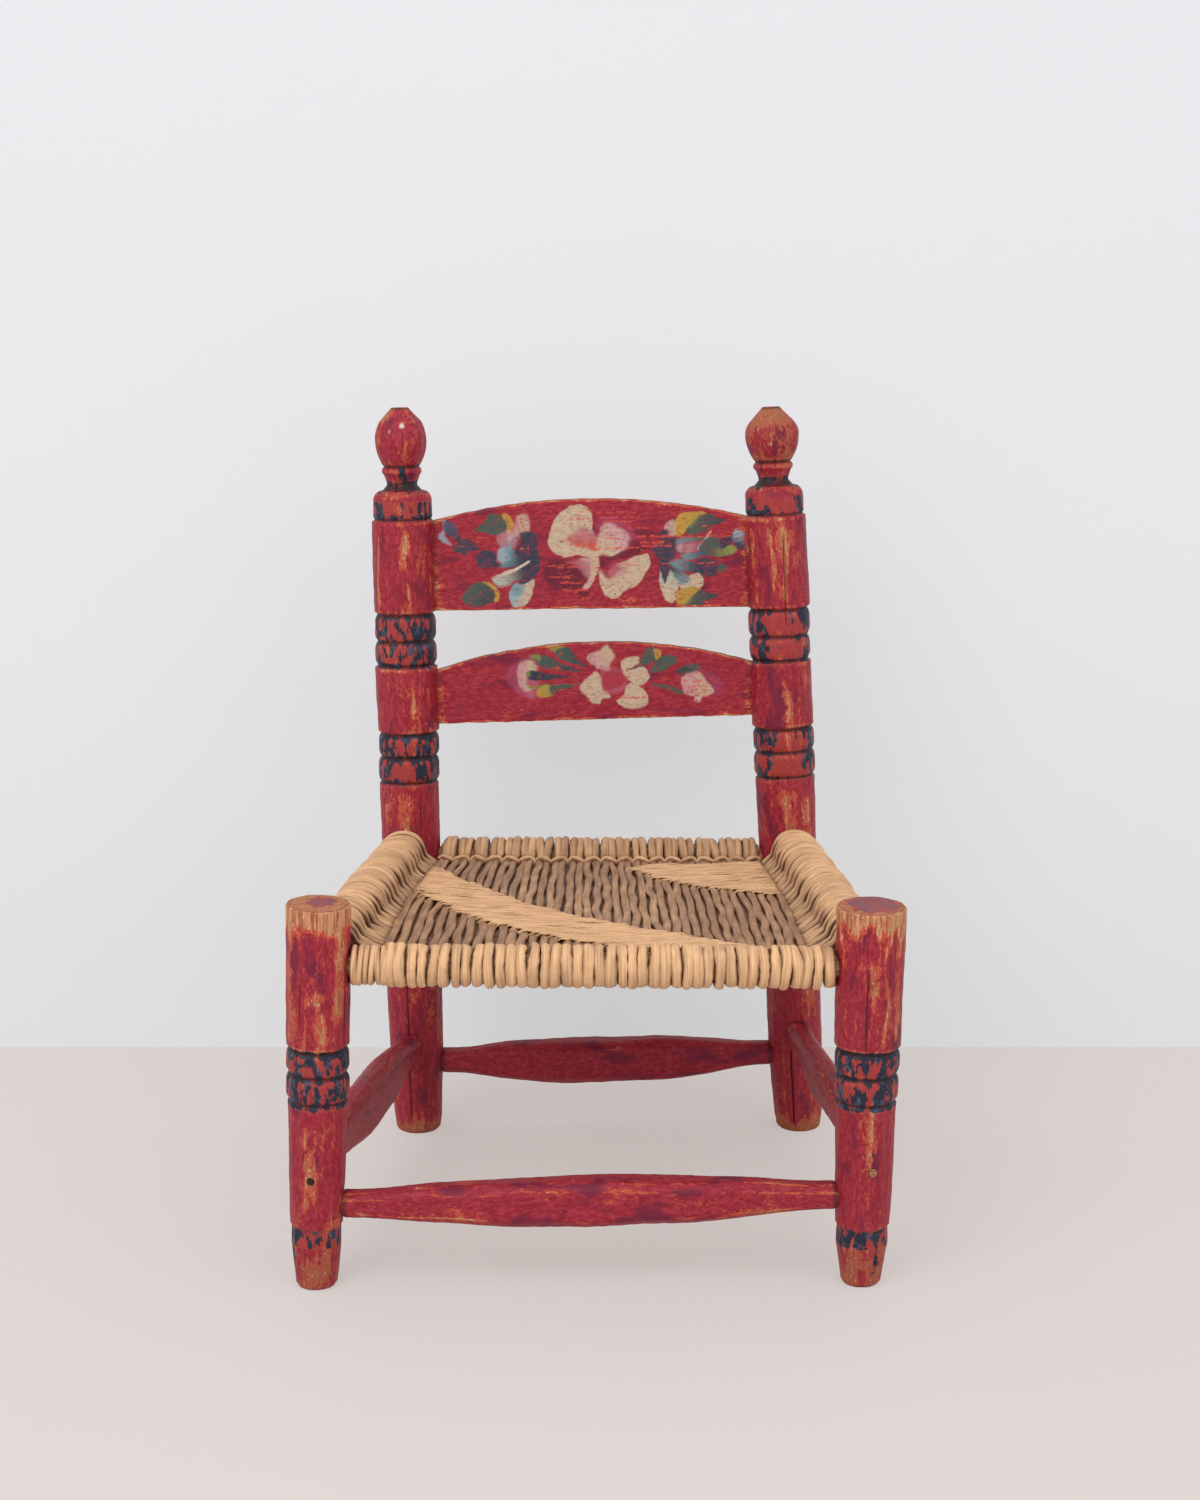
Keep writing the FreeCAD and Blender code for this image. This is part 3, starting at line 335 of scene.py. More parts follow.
posts = {
    "front_left": {
        "side": -1, "lean": 6.7, "height": 238.5, "rise": 0.0, "seed": 3, "topPaint": 9.0,
        "top": 18.9, "belt": 18.8, "bead": 18.7, "shaft": 17.8, "ankle": 15.8, "ball": 14.8, "toe": 12.6,
        "cracks": ((62, 126, 222, 0.5, 1.6), (-30, 165, 196, 0.4, 0.7), (150, 20, 110, 0.5, 1.2)),
        "hole": (-3.0, 71.2, 2.5, 3.3), "knots": (), "clean": (3, 0.1, 0.6),
        "dribbles": ((-72, 12, 38, 4.0, 0.5),),
        "streaks": ((-10, 50, 108, 5.0, 0.22), (10, 152, 196, 3.0, 0.22), (-8, 176, 215, 6.0, 0.2),
                    (-62, 150, 236, 5.0, 0.22), (48, 168, 236, 4.0, 0.26)),
    },
    "front_right": {
        "side": 1, "lean": 1.4, "height": 235.8, "rise": -1.8, "seed": 8, "topPaint": 15.0,
        "top": 20.4, "belt": 19.5, "bead": 19.1, "shaft": 18.3, "ankle": 16.1, "ball": 15.4, "toe": 12.2,
        "cracks": ((-8, 148, 205, 0.4, 0.7), (-160, 60, 180, 0.5, 1.4), (30, 10, 34, 0.4, 0.8)),
        "hole": (3.8, 76.0, 2.6, 0.7), "knots": ((6.0, 193.0, 5.0),), "clean": (-8, 0.08, 0.5),
        "dribbles": ((34, 6, 36, 4.0, 0.44), (0, 26, 38, 4.5, 0.46)),
        "streaks": ((26, 150, 224, 1.4, 0.26), (8, 74, 122, 4.0, 0.16), (52, 150, 232, 3.0, 0.26),
                    (0, 148, 215, 1.6, 0.2), (-58, 170, 230, 3.0, 0.16)),
    },
    "back_left": {
        "side": -1, "lean": -7.5, "height": 491.4, "rise": 0.0, "seed": 15, "finial": 17.2,
        "cracks": ((-12, 8, 150, 0.5, 0.8), (120, 60, 240, 0.5, 1.2), (25, 200, 236, 0.4, 0.6)),
        "hole": None, "knots": (), "clean": (-10, 0.14, 0.5), "finialWear": (0.02, 0.12, 0.45),
        "dribbles": ((62, 240, 278, 6.0, 0.5), (58, 316, 356, 6.0, 0.5), (6, 436, 456, 3.5, 0.6)),
        "splashes": ((8, 480.0, 1.5, "white"), (-22, 476.5, 0.8, "ice"), (44, 421.5, 0.9, "yellow")),
        "streaks": ((4, 382, 416, 3.0, 0.28), (-52, 356, 416, 1.2, 0.3), (10, 356, 384, 1.5, 0.14),
                    (-10, 205, 240, 4.0, 0.22), (16, 282, 318, 2.0, 0.16)),
    },
    "back_right": {
        "side": 1, "lean": -23.8, "height": 492.0, "rise": 3.4, "seed": 21, "finial": 17.9,
        "cracks": ((-14, 2, 62, 0.55, 1.6), (-125, 80, 230, 0.5, 1.2), (10, 345, 412, 0.4, 0.6)),
        "hole": None, "knots": (), "clean": (8, 0.32, 0.6), "finialWear": (0.13, 0.26, 0.9),
        "dribbles": ((-62, 243, 282, 6.5, 0.5), (-62, 320, 360, 6.5, 0.5), (50, 243, 282, 3.0, 0.46)),
        "splashes": ((-72, 398.0, 2.2, "yellow"), (-70, 394.0, 1.6, "leaf"), (-78, 401.5, 1.5, "teal")),
        "streaks": ((12, 358, 418, 2.2, 0.26), (-12, 358, 418, 1.4, 0.24), (-48, 358, 416, 1.4, 0.2),
                    (6, 282, 318, 2.6, 0.24), (-4, 206, 240, 5.0, 0.22), (40, 210, 238, 2.0, 0.2)),
    },
}


def mixedPaint(key):
    return np.array(paint(*colours[key])[:3])


def postAxis(post):
    # the foot on the floor and the direction of the line that a post is turned about
    spec = posts[post]
    row = post.split("_")[0]
    foot = np.array([
        feet[row + "Shift"] + spec["side"] * feet[row + "Spread"] / 2,
        feet[row + "Row"] + spec["side"] * feet["rowSkew"] / 2, 0.0])
    rake = feet["rake"] if row == "back" else 0.0
    return foot, unit([spec["lean"], rake, spec["height"]])


def onAxis(post, height):
    foot, direction = postAxis(post)
    return foot + direction * height / direction[2]


def grooveRows(below, above, height):
    half, depth = turned["grooveHalf"], turned["grooveDepth"]
    return [(height - half, below, False), (height, below - depth, False), (height + half, above, False)]


def beadRows(radius, below, above, middle, upper, lower):
    # two round-shouldered beads between three grooves
    bottom, curve, half = radius - turned["grooveDepth"], turned["beadRound"], turned["grooveHalf"]
    rows = [(middle - lower - half, below, False)]
    for start, length in ((middle - lower, lower), (middle, upper)):
        rows.append((start, bottom, True))
        rows.append((start + curve, radius, False))
        rows.append((start + length - curve, radius, True))
    rows.append((middle + upper, bottom, False))
    rows.append((middle + upper + half, above, False))
    return rows


def footRows(toe):
    return [(0.0, toe - turned["rim"] / 2, True), (turned["rim"], toe, False)]


def frontRows(spec):
    cut, rise = frontTurning, spec["rise"]
    ankle, half = cut["ankle"] + rise, turned["grooveHalf"]
    rows = footRows(spec["toe"]) + [
        (cut["ball"] + rise, spec["ball"], True),
        (ankle, spec["ankle"] - turned["grooveDepth"] / 2, False), (ankle + half, spec["ankle"], False)]
    beads = (cut["middle"] + rise, cut["upper"], cut["lower"])
    rows += beadRows(spec["bead"], spec["shaft"], spec["belt"], *beads)
    height, top, rim = spec["height"], spec["top"], cut["topRim"]
    return rows + [(height - rim, top, True), (height, top - rim, False)]


def backRows(spec):
    cut, rise = backTurning, spec["rise"]
    rows = footRows(cut["toe"] - turned["rim"] / 4)
    rows += [(cut["toeHeight"], cut["toe"], False), (cut["ankleHeight"], cut["ankle"], False)]
    for beads, below in ((cut["lowerBeads"], cut["waist"]), (cut["upperBeads"], cut["shaft"])):
        rows += beadRows(cut["bead"], below, cut["shaft"], beads[0] + rise, *beads[1:])
    rows += grooveRows(cut["shaft"], cut["shoulder"], cut["shoulderGroove"] + rise)
    base, collar = cut["base"] + rise, cut["collarHeight"]
    rows += [
        (cut["shoulderTop"] + rise, cut["shoulder"], True),
        (cut["shoulderStart"][0] + rise, cut["shoulderStart"][1], False),
        (cut["neckHeight"] + rise, cut["neck"], False),
        (cut["neckHeight"] + cut["neckStraight"] + rise, cut["neck"], False),
        (base - collar, cut["collar"] - collar / 4, False), (base - collar * 0.75, cut["collar"], False),
        (base - collar / 2, cut["collar"], True), (base, cut["baseRadius"], True),
        (cut["widest"] + rise, spec["finial"], True),
        (spec["height"] - cut["coneHeight"], cut["cone"], False),
        (spec["height"], cut["tip"], False)]
    return rows


def sampleRows(rows, extra):
    # heights and radii along an outline: straight stretches, and arcs that stand upright at
    # their wide end, radius = (swell^2 + rise^2) / (2 swell)
    heights, radii = [], []
    for (low, lowRadius, rounded), (high, highRadius, _) in zip(rows, rows[1:]):
        count = max(2, int(math.hypot(high - low, highRadius - lowRadius) / turned["step"]))
        count = max(count, 6) if rounded else count
        at = np.linspace(low, high, count, endpoint=False)
        swell = abs(highRadius - lowRadius)
        if rounded and swell > 0:
            wide, wideAt = (highRadius, high) if highRadius > lowRadius else (lowRadius, low)
            arc = (swell ** 2 + (high - low) ** 2) / (2 * swell)
            radius = wide - arc + np.sqrt(arc ** 2 - (at - wideAt) ** 2)
        else:
            radius = np.interp(at, (low, high), (lowRadius, highRadius))
        heights.append(at)
        radii.append(radius)
    heights = np.append(np.concatenate(heights), rows[-1][0])
    radii = np.append(np.concatenate(radii), rows[-1][1])
    finer = np.unique(np.append(heights, extra))
    return finer, np.interp(finer, heights, radii)


carving = {
    # sizes in mm, but the depth of the knife's flats is a share of the radius
    "flats": 10, "frontFlat": 0.03, "backFlat": 0.026, "flatDepths": (0.6, 1.3), "flatWaves": (60, 190),
    "flatTurn": 0.3, "ridge": 0.022, "dent": 0.16, "dentWaves": ((5, 24), (7, 30)), "lump": 0.35,
    "lumpWaves": ((1, 3), (50, 160)), "endRings": (0.02, 0.2, 0.4, 0.55, 0.7, 0.82, 0.92),
    "smoothing": 2.5, "crackAngles": (-0.055, -0.028, 0.0, 0.028, 0.055), "crackFade": 8,
    "crackWave": 0.3, "knotDepth": 0.6, "holeReach": 1.3, "holeRows": 13, "deepHole": 1.0,
    "footLevel": 14, "planeDepth": (0.72, 0.28), "dentsFrom": (0, 6), "dentsOut": (3, 9),
    "cavity": (0.25, 1.1), "crackCavity": 1.2, "knotStretch": 1.3, "knotCavity": 0.3,
    "deepCavity": 1.6, "shallowCavity": 0.2,
}
aging = {
    # how worn: everywhere, on ridges, on rims, in slow patches, in the streaks' fading ends, on a
    # front post's top and at its foot
    "plain": 0.14, "ridge": 0.11, "rim": 0.12, "broad": 0.09, "broadWaves": ((1, 4), (45, 150)),
    "streakFade": 9, "streakWave": 1.2, "topWear": 0.56, "topPaintHolds": 0.3, "topLevel": 0.01,
    "raggedWaves": ((2, 9), (50, 60)), "ragged": 4, "footFade": (-38, -8), "foot": 0.17,
    # a back post's finial, from below the ball to its tip, and its foot
    "finial": (448, 456), "neck": (454, 462), "neckWear": 0.12, "tip": (13, 5), "tipTurn": 0.12,
    "backFoot": (-14, 0), "backFootWear": 0.3, "backFootBare": 0.6, "backBare": 0.35,
    # a front post's rim, worn twice, its bare wood, and the old paint on its top
    "rimFades": ((-34, -6), (-18, -4)), "rimWears": (0.12, 0.3), "frontBare": 0.4,
    "footBare": (0.55, (-38, -18)), "upperPainted": (0.35, (-50, -16)), "topBare": 0.3,
    "spotAt": (1.5, -2.5), "spotStretch": 0.9, "spotFade": 1.2,
    # wear above a plug's hole: its half widths, how far above, and its amount
    "holeSize": (4.5, 11), "holeAbove": 5, "deepHole": 0.1, "shallowHole": 0.16, "rimFrom": (0.2, 0.9),
}
accents = {
    # navy in its zones: fading ends, lost on crowns and kept beside beads; then dribbles and splashes
    "zoneFade": 1.5, "ridgeLoss": 0.07, "besideGain": 0.26, "least": 0.07, "dribbleFade": 4,
    "dribbleLeast": 0.04, "topPaintCover": 0.85,
    # the zones' low and high marks, past the beads or by height, and how much navy they hold
    "backBeads": (2, 2, 0.5), "shoulder": (1, 431, 0.5), "neck": (434, 444, 0.44),
    "frontBeads": (4, 3, 0.5), "ankle": (12, 2, 0.48), "besideRows": 7, "beside": (0.15, 0.9),
}


def flats(theta, height, seed, count, depth):
    # the knife's flats: the least of planes round the post, each coming and going with height,
    # as a share of the turned radius, and how near each point is to the ridge between two
    random = np.random.default_rng(seed)
    planes = [np.ones(theta.shape)]
    for number in range(count):
        middle = (number + random.uniform(-carving["flatTurn"], carving["flatTurn"])) / count * turn
        wave = np.sin(turn * height / random.uniform(*carving["flatWaves"]) + random.uniform(0, turn))
        steady, coming = carving["planeDepth"]
        cut = depth * random.uniform(*carving["flatDepths"]) * (steady + coming * wave)
        planes.append((1 - cut) / np.maximum(np.cos(theta - middle), 0.3))
    planes = np.sort(np.array(planes), 0)
    return planes[0], 1 - ease(planes[1] - planes[0], 0.0, carving["ridge"])


def navyZones(spec):
    # where the accents were brushed on: low and high mark, amount
    rise = spec["rise"]
    if "finial" in spec:
        under, over, amount = accents["backBeads"]
        zones = [(middle + rise - lower - under, middle + rise + upper + over, amount)
                 for middle, upper, lower in (backTurning["lowerBeads"], backTurning["upperBeads"])]
        under, high, amount = accents["shoulder"]
        zones.append((backTurning["shoulderGroove"] + rise - under, high + rise, amount))
        low, high, amount = accents["neck"]
        return zones + [(low + rise, high + rise, amount)]
    middle, ankle = frontTurning["middle"] + rise, frontTurning["ankle"] + rise
    under, over, amount = accents["frontBeads"]
    beads = (middle - frontTurning["lower"] - under, middle + frontTurning["upper"] + over, amount)
    under, over, amount = accents["ankle"]
    return [beads, (ankle - under, ankle + over, amount)]


def holeAngle(spec):
    return math.asin(spec["hole"][0] / spec["shaft"])


def postGrid(spec):
    # heights, angles and turned radii, closer together at cracks and at a hole, with rings in to
    # the axis over both ends; and how far the outline bulges out of its own average
    hole, near = spec["hole"], np.linspace(-carving["holeReach"], carving["holeReach"], carving["holeRows"])
    rows = backRows(spec) if "finial" in spec else frontRows(spec)
    height, radius = sampleRows(rows, hole[1] + near * hole[2] if hole else [])
    step = carving["smoothing"]
    below, above = (np.interp(height + way, height, radius) for way in (-step, step))
    bulge = radius - (below + above) / 2
    theta = np.linspace(0, turn, turned["columns"], endpoint=False)
    for angle, *_ in spec["cracks"]:
        theta = np.append(theta, math.radians(angle) + np.array(carving["crackAngles"]))
    if hole:
        theta = np.append(theta, holeAngle(spec) + near * hole[2] / spec["shaft"])
    theta = np.unique(np.round(theta % turn, 5))
    ends = np.array(carving["endRings"])
    radius = np.concatenate([ends * radius[0], radius, ends[::-1] * radius[-1]])
    height = np.concatenate([0 * ends, height, 0 * ends + spec["height"]])
    heights, angles = np.meshgrid(height, theta, indexing="ij")
    radii = np.repeat(radius[:, None], len(theta), 1)
    return heights, angles, radii, np.concatenate([0 * ends, bulge, 0 * ends])


def carve(spec, heights, angles, radii, bulge):
    # the turned radius, cut by the knife's flats and dented, split by cracks and drilled where a
    # hole is; with the ridges between flats, the cavities, and the wear above a hole
    flat = carving["backFlat"] if "finial" in spec else carving["frontFlat"]
    share, ridge = flats(angles, heights, spec["seed"], carving["flats"], flat)
    dents = ripple(angles, heights, spec["seed"] + 1, *carving["dentWaves"]) * carving["dent"]
    lumps = ripple(angles, heights, spec["seed"] + 2, *carving["lumpWaves"]) * carving["lump"]
    dented = ease(heights, *carving["dentsFrom"]) * ease(radii, *carving["dentsOut"])
    radii = radii * share + (dents + lumps) * dented
    # darker in the grooves between beads: grime and painted shade
    cavity = ease(-bulge[:, None], *carving["cavity"]) * np.ones_like(radii)
    for angle, low, high, width, depth in spec["cracks"]:
        wave = 0.5 * np.sin(heights / 9.0 + angle) + 0.3 * np.sin(heights / 3.7)
        off = roundFrom(angles, radii, angle) - wave * carving["crackWave"]
        split = np.exp(-(off / width) ** 2) * within(heights, low, high, carving["crackFade"])
        radii = radii - depth * split
        # darker along a crack: painted shade
        cavity = np.maximum(cavity, split * carving["crackCavity"])
    for offset, mark, size in spec["knots"]:
        off = turnFrom(angles, math.asin(offset / spec["top"])) * radii
        ring = np.exp(-(np.hypot(off, (heights - mark) * carving["knotStretch"]) - size) ** 2)
        radii = radii - carving["knotDepth"] * ring
        cavity = np.maximum(cavity, carving["knotCavity"] * ring)
    holeWear = np.zeros_like(radii)
    if spec["hole"]:
        mark, radius, depth = spec["hole"][1:]
        kind = "deep" if depth > carving["deepHole"] else "shallow"
        off = turnFrom(angles, holeAngle(spec)) * radii
        inside = np.hypot(off, heights - mark) < radius
        radii = np.where(inside, radii - depth, radii)
        # darker inside the hole: painted shade in an open hole, a dark joint round a plug
        cavity = np.maximum(cavity, inside * carving[kind + "Cavity"])
        aside, upward = aging["holeSize"]
        fade = (off / aside) ** 2 + ((heights - mark - aging["holeAbove"]) / upward) ** 2
        holeWear = aging[kind + "Hole"] * np.exp(-fade)
    return radii, ridge, cavity, holeWear


def placeOnAxis(post, heights, angles, radii):
    foot, direction = postAxis(post)
    right = unit(np.array([1.0, 0, 0]) - direction * direction[0])
    outward = np.sin(angles)[..., None] * right - np.cos(angles)[..., None] * np.cross(direction, right)
    # the foot's ring is shifted along the axis until it lies on the floor
    level = -radii * outward[..., 2] / direction[2] * (1 - ease(heights, 0, carving["footLevel"]))
    points = foot + direction * (heights + level)[..., None] + outward * radii[..., None]
    points[..., 2] = np.maximum(points[..., 2], 0)
    return points


def backAging(spec, heights, angles):
    # a back post's finial and foot: wear and bare wood
    rise, height = spec["rise"], spec["height"]
    onBall, onTip, brown = spec["finialWear"]
    finial = ease(heights - rise, *aging["finial"])
    tip = ease(heights - height, *(-below for below in aging["tip"]))
    wear = finial * (onBall + (onTip - aging["tipTurn"] * np.sin(angles)) * tip)
    wear = wear + aging["neckWear"] * brown * finial * (1 - ease(heights - rise, *aging["neck"]))
    atFoot = ease(-heights, *aging["backFoot"])
    bare = aging["backBare"] + finial * (brown - aging["backBare"])
    return wear + aging["backFootWear"] * atFoot, bare + aging["backFootBare"] * atFoot


def frontAging(spec, heights, angles, radii, wear):
    # a front post's top and foot: wear, bare wood, and the old paint left in a spot behind the
    # top's middle, with rough edges
    belowTop = spec["height"] - heights
    onTop = belowTop < aging["topLevel"]
    ragged = ripple(angles, 0 * heights, spec["seed"] + 9, *aging["raggedWaves"]) * aging["ragged"]
    (wide, close), (little, much) = aging["rimFades"], aging["rimWears"]
    wear = wear + little * ease(-belowTop, *wide) + much * ease(-belowTop - ragged, *close)
    topX, topY = radii * np.sin(angles), radii * np.cos(angles)
    edge = 1.4 * np.sin(0.55 * topX + 0.3 * topY + spec["seed"]) + np.sin(1.1 * topY - 0.5 * topX)
    spotX, spotY = aging["spotAt"]
    spot = np.hypot(topX - spotX, (topY - spotY) * aging["spotStretch"]) + edge
    topPaint = onTop * ease(spec["topPaint"] - spot, -aging["spotFade"], aging["spotFade"])
    wear = np.where(onTop, aging["topWear"] - aging["topPaintHolds"] * topPaint, wear)
    (footBare, footFade), (painted, paintFade) = aging["footBare"], aging["upperPainted"]
    bare = aging["frontBare"] + footBare * ease(-heights, *footFade)
    bare = bare - painted * ease(-belowTop, *paintFade) + aging["topBare"] * onTop
    return wear + aging["foot"] * ease(-heights, *aging["footFade"]), bare, topPaint, onTop


def navyAccents(spec, heights, angles, radii, ridge, bulge):
    # the navy's amount: brushed in zones, cleaned off the crowns in front, and run in dribbles
    navy = np.zeros_like(radii)
    cleanAt, cleaned, cleanWide = spec["clean"]
    inFront = np.exp(-(turnFrom(angles, math.radians(cleanAt)) / cleanWide) ** 4)
    crowns = cleaned * inFront + accents["ridgeLoss"] * ridge
    rows = accents["besideRows"]
    beside = np.convolve(np.pad(-bulge, rows // 2, "edge"), np.ones(rows) / (rows // 2 + 1), "valid")
    beside = ease(beside, *accents["beside"])[:, None]
    for low, high, amount in navyZones(spec):
        held = np.clip(amount - crowns + accents["besideGain"] * beside, accents["least"], 1)
        navy = np.maximum(navy, within(heights, low, high, accents["zoneFade"]) * held)
    for angle, low, high, half, amount in spec["dribbles"]:
        off = roundFrom(angles, radii, angle)
        streak = amount * np.exp(-(off / half) ** 4) * within(heights, low, high, accents["dribbleFade"])
        navy = np.maximum(navy, np.where(streak > accents["dribbleLeast"], streak, 0))
    return navy


def splashes(spec, heights, angles, radii, topPaint):
    # colour and cover of the old paint on a top and of small splashes of the flowers' paint
    cover, colour = accents["topPaintCover"] * topPaint, topPaint[..., None] * mixedPaint("dusk")
    for angle, mark, size, key in spec.get("splashes", ()):
        gap = np.hypot(roundFrom(angles, radii, angle), heights - mark)
        cover = np.maximum(cover, ease(size * 1.2 - gap, -0.2, 0.4))
        colour = np.where((gap < size * 2)[..., None], mixedPaint(key), colour)
    return colour, cover


def turnedPost(post):
    # surface of height and angle
    spec = posts[post]
    heights, angles, radii, bulge = postGrid(spec)
    radii, ridge, cavity, holeWear = carve(spec, heights, angles, radii, bulge)
    # wear: along the ridges and rims, in slow patches, and in streaks seen in the photograph
    rim = ease(bulge, *aging["rimFrom"])[:, None]
    broad = ripple(angles, heights, spec["seed"] + 5, *aging["broadWaves"])
    wear = aging["plain"] + aging["ridge"] * ridge + aging["rim"] * rim + aging["broad"] * broad + holeWear
    for angle, low, high, half, amount in spec["streaks"]:
        off = roundFrom(angles, radii, angle) + aging["streakWave"] * np.sin(heights / 8 + angle)
        wear = wear + amount * np.exp(-(off / half) ** 2) * within(heights, low, high, aging["streakFade"])
    topPaint = np.zeros_like(radii)
    if "finial" in spec:
        more, bare = backAging(spec, heights, angles)
        wear = wear + more
    else:
        wear, bare, topPaint, onTop = frontAging(spec, heights, angles, radii, wear)
        cavity = np.maximum(cavity, onTop * (0.1 + 0.1 * topPaint))
    splash, splashed = splashes(spec, heights, angles, radii, topPaint)
    grain = np.stack([radii * np.sin(angles), -radii * np.cos(angles), heights], -1)
    navy = navyAccents(spec, heights, angles, radii, ridge, bulge)
    marks = {"grain": grain * mm + spec["seed"] * 0.37, "wear": wear, "navy": navy,
             "cavity": np.clip(cavity, 0, 1.6), "bare": np.clip(bare, 0, 1), "flower": splash,
             "flowerCover": splashed}
    woodPiece("turned_" + post + "_post", placeOnAxis(post, heights, angles, radii), marks, post + "_post")


for post in posts:
    turnedPost(post)
print("posts made")


# Stretchers

hewn = {
    "shares": (
        (0.0, 0.53), (0.16, 0.77), (0.37, 0.97), (0.5, 1.0), (0.68, 0.93), (0.84, 0.76), (1.0, 0.53)),
    "tenon": 7.9, "into": 5.0, "facet": 0.45, "rows": 200, "columns": 64, "sides": 8, "smoothing": 12,
    "hewing": 0.035, "hewingWaves": (45, 110), "tilt": 0.06, "tiltWaves": (30, 70), "edge": 1.1,
    "edgeWear": 0.45, "dent": 0.14, "dentWaves": ((4, 18), (6, 26)), "broad": 0.09,
    "broadWaves": ((1, 3), (60, 160)), "endRing": 0.03, "shoulder": 0.02,
}
stretchers = {
    "front_stretcher": {"posts": ("front_left", "front_right"), "heights": (51.0, 55.9), "belly": 1.4,
                        "halfHeight": 14.5, "halfDepth": 11.5, "seed": 41, "wear": 0.19},
    "back_stretcher": {"posts": ("back_left", "back_right"), "heights": (46.6, 51.7), "belly": 2.6,
                       "halfHeight": 15.1, "halfDepth": 11.0, "seed": 42, "wear": 0.08},
    "left_stretcher": {"posts": ("front_left", "back_left"), "heights": (77.5, 62.0), "belly": 1.0,
                       "halfHeight": 16.0, "halfDepth": 9.5, "seed": 43, "wear": 0.14},
    "right_stretcher": {"posts": ("front_right", "back_right"), "heights": (83.0, 70.0), "belly": 0.0,
                        "halfHeight": 10.2, "halfDepth": 9.5, "seed": 44, "wear": 0.14},
}


def postRadius(post, height):
    rows = backRows(posts[post]) if "finial" in posts[post] else frontRows(posts[post])
    return float(np.interp(height, [row[0] for row in rows], [row[1] for row in rows]))


def spindle(name):
    # surface of length and angle: the least of eight hewn planes round the axis, whose
    # distances follow the shares along the length
    spec = stretchers[name]
    start, end = (onAxis(post, height) for post, height in zip(spec["posts"], spec["heights"]))
    along = unit(end - start)
    upright = unit(np.array([0, 0, 1.0]) - along * along[2])
    beside = np.cross(upright, along)
    length = np.linalg.norm(end - start)
    begin, finish = (postRadius(post, height) for post, height in zip(spec["posts"], spec["heights"]))
    low, high = begin - hewn["into"], length - finish + hewn["into"]
    place = np.linspace(low, high, hewn["rows"])
    share = np.clip((place - begin) / (length - finish - begin), 0, 1)
    knots, sizes = np.array(hewn["shares"]).T
    fine, blur = np.linspace(0, 1, hewn["rows"]), hewn["smoothing"]
    curve = np.pad(np.interp(fine, knots, sizes), blur, "edge")
    curve = np.convolve(curve, np.hanning(2 * blur + 1) / blur, "valid")
    size = np.interp(share, fine, curve)
    rounding = ease(size, 0.5, 0.8)
    half = {"high": hewn["tenon"] + (spec["halfHeight"] * size - hewn["tenon"]) * rounding,
            "deep": hewn["tenon"] + (spec["halfDepth"] * size - hewn["tenon"]) * rounding}
    phi = np.linspace(0, turn, hewn["columns"], endpoint=False)
    random = np.random.default_rng(spec["seed"])
    planes = []
    cut = half["deep"] * hewn["facet"]
    corner = (half["high"] + half["deep"] - cut) / math.sqrt(2)
    for number in range(hewn["sides"]):
        distance = (half["high"], corner, half["deep"], corner)[number % 4]
        wave = np.sin(turn * place / random.uniform(*hewn["hewingWaves"]) + random.uniform(0, turn))
        sway = np.sin(place / random.uniform(*hewn["tiltWaves"]) + random.uniform(0, turn))
        tilt = number * turn / hewn["sides"] + hewn["tilt"] * sway
        plane = (distance * (1 + hewn["hewing"] * wave))[:, None]
        planes.append(plane / np.maximum(np.cos(phi - tilt[:, None]), 0.2))
    planes = np.sort(np.array(planes), 0)
    edge = 1 - ease(planes[1] - planes[0], 0.0, hewn["edge"])
    places, angles = np.meshgrid(place, phi, indexing="ij")
    dents = ripple(angles, places, spec["seed"] + 3, *hewn["dentWaves"])
    radii = planes[0] - hewn["edgeWear"] * edge + dents * hewn["dent"]
    # inside the posts it is no thicker than its tenon, and each end closes in a small ring
    inPost = within(share, 0, 1, hewn["shoulder"]) == 0
    radii[inPost] = np.minimum(radii[inPost], hewn["tenon"])
    radii[[0, -1]] *= hewn["endRing"]
    drop = spec["belly"] * (size - sizes[0]) / (1 - sizes[0])
    points = start + along * places[..., None]
    points = points + upright * (radii * np.cos(angles) - drop[:, None])[..., None]
    points = points + beside * (radii * np.sin(angles))[..., None]
    broad = ripple(angles, places, spec["seed"] + 5, *hewn["broadWaves"])
    # darker where a stretcher goes into a post: painted shade
    atPost = 1 - ease(np.minimum(places - begin, length - finish - places), 0.2, 3.0)
    grain = np.stack([radii * np.cos(angles), radii * np.sin(angles), places], -1)
    marks = {"grain": grain * mm + spec["seed"] * 0.11,
             "wear": spec["wear"] + 0.17 * edge + hewn["broad"] * broad, "navy": np.zeros_like(places),
             "cavity": atPost * 0.8, "bare": np.full(places.shape, 0.2)}
    woodPiece("hewn_" + name, points, marks, name)


for name in stretchers:
    spindle(name)
print("stretchers made")


# Slats and the flowers painted on them

# the photograph's size in pixels and its camera, in metres, degrees and lens millimetres
photoSize = (1200, 1500)
cameraView = {"place": (0.0035, -1.748, 0.729162), "pitchDown": 13.998, "lens": 68.944, "sensor": 36.0}
board = {
    "thick": 8.0, "inset": 7.0, "inPost": 14.0, "edge": 1.3, "columnStep": 0.62, "rowStep": 0.6,
    "cornerSteps": 5, "edgeSteps": 6, "behindEvery": 4, "uneven": 0.3, "planed": 0.22, "scratched": 0.9,
    # wear and dark at the rims, on the back, in patches, low down and beside the posts
    "rimWear": 0.26, "rimFade": (0.3, 2.6), "backWear": 0.1, "patchWear": 0.07, "patches": (20, 80),
    "lowWear": 0.05, "lowFade": (2, 12), "postWear": 0.2, "postFade": (0, 9), "postDark": (-1.5, 3),
    "edgeDark": 0.9, "cavity": 0.7, "front": (1.0, 0.4),
}
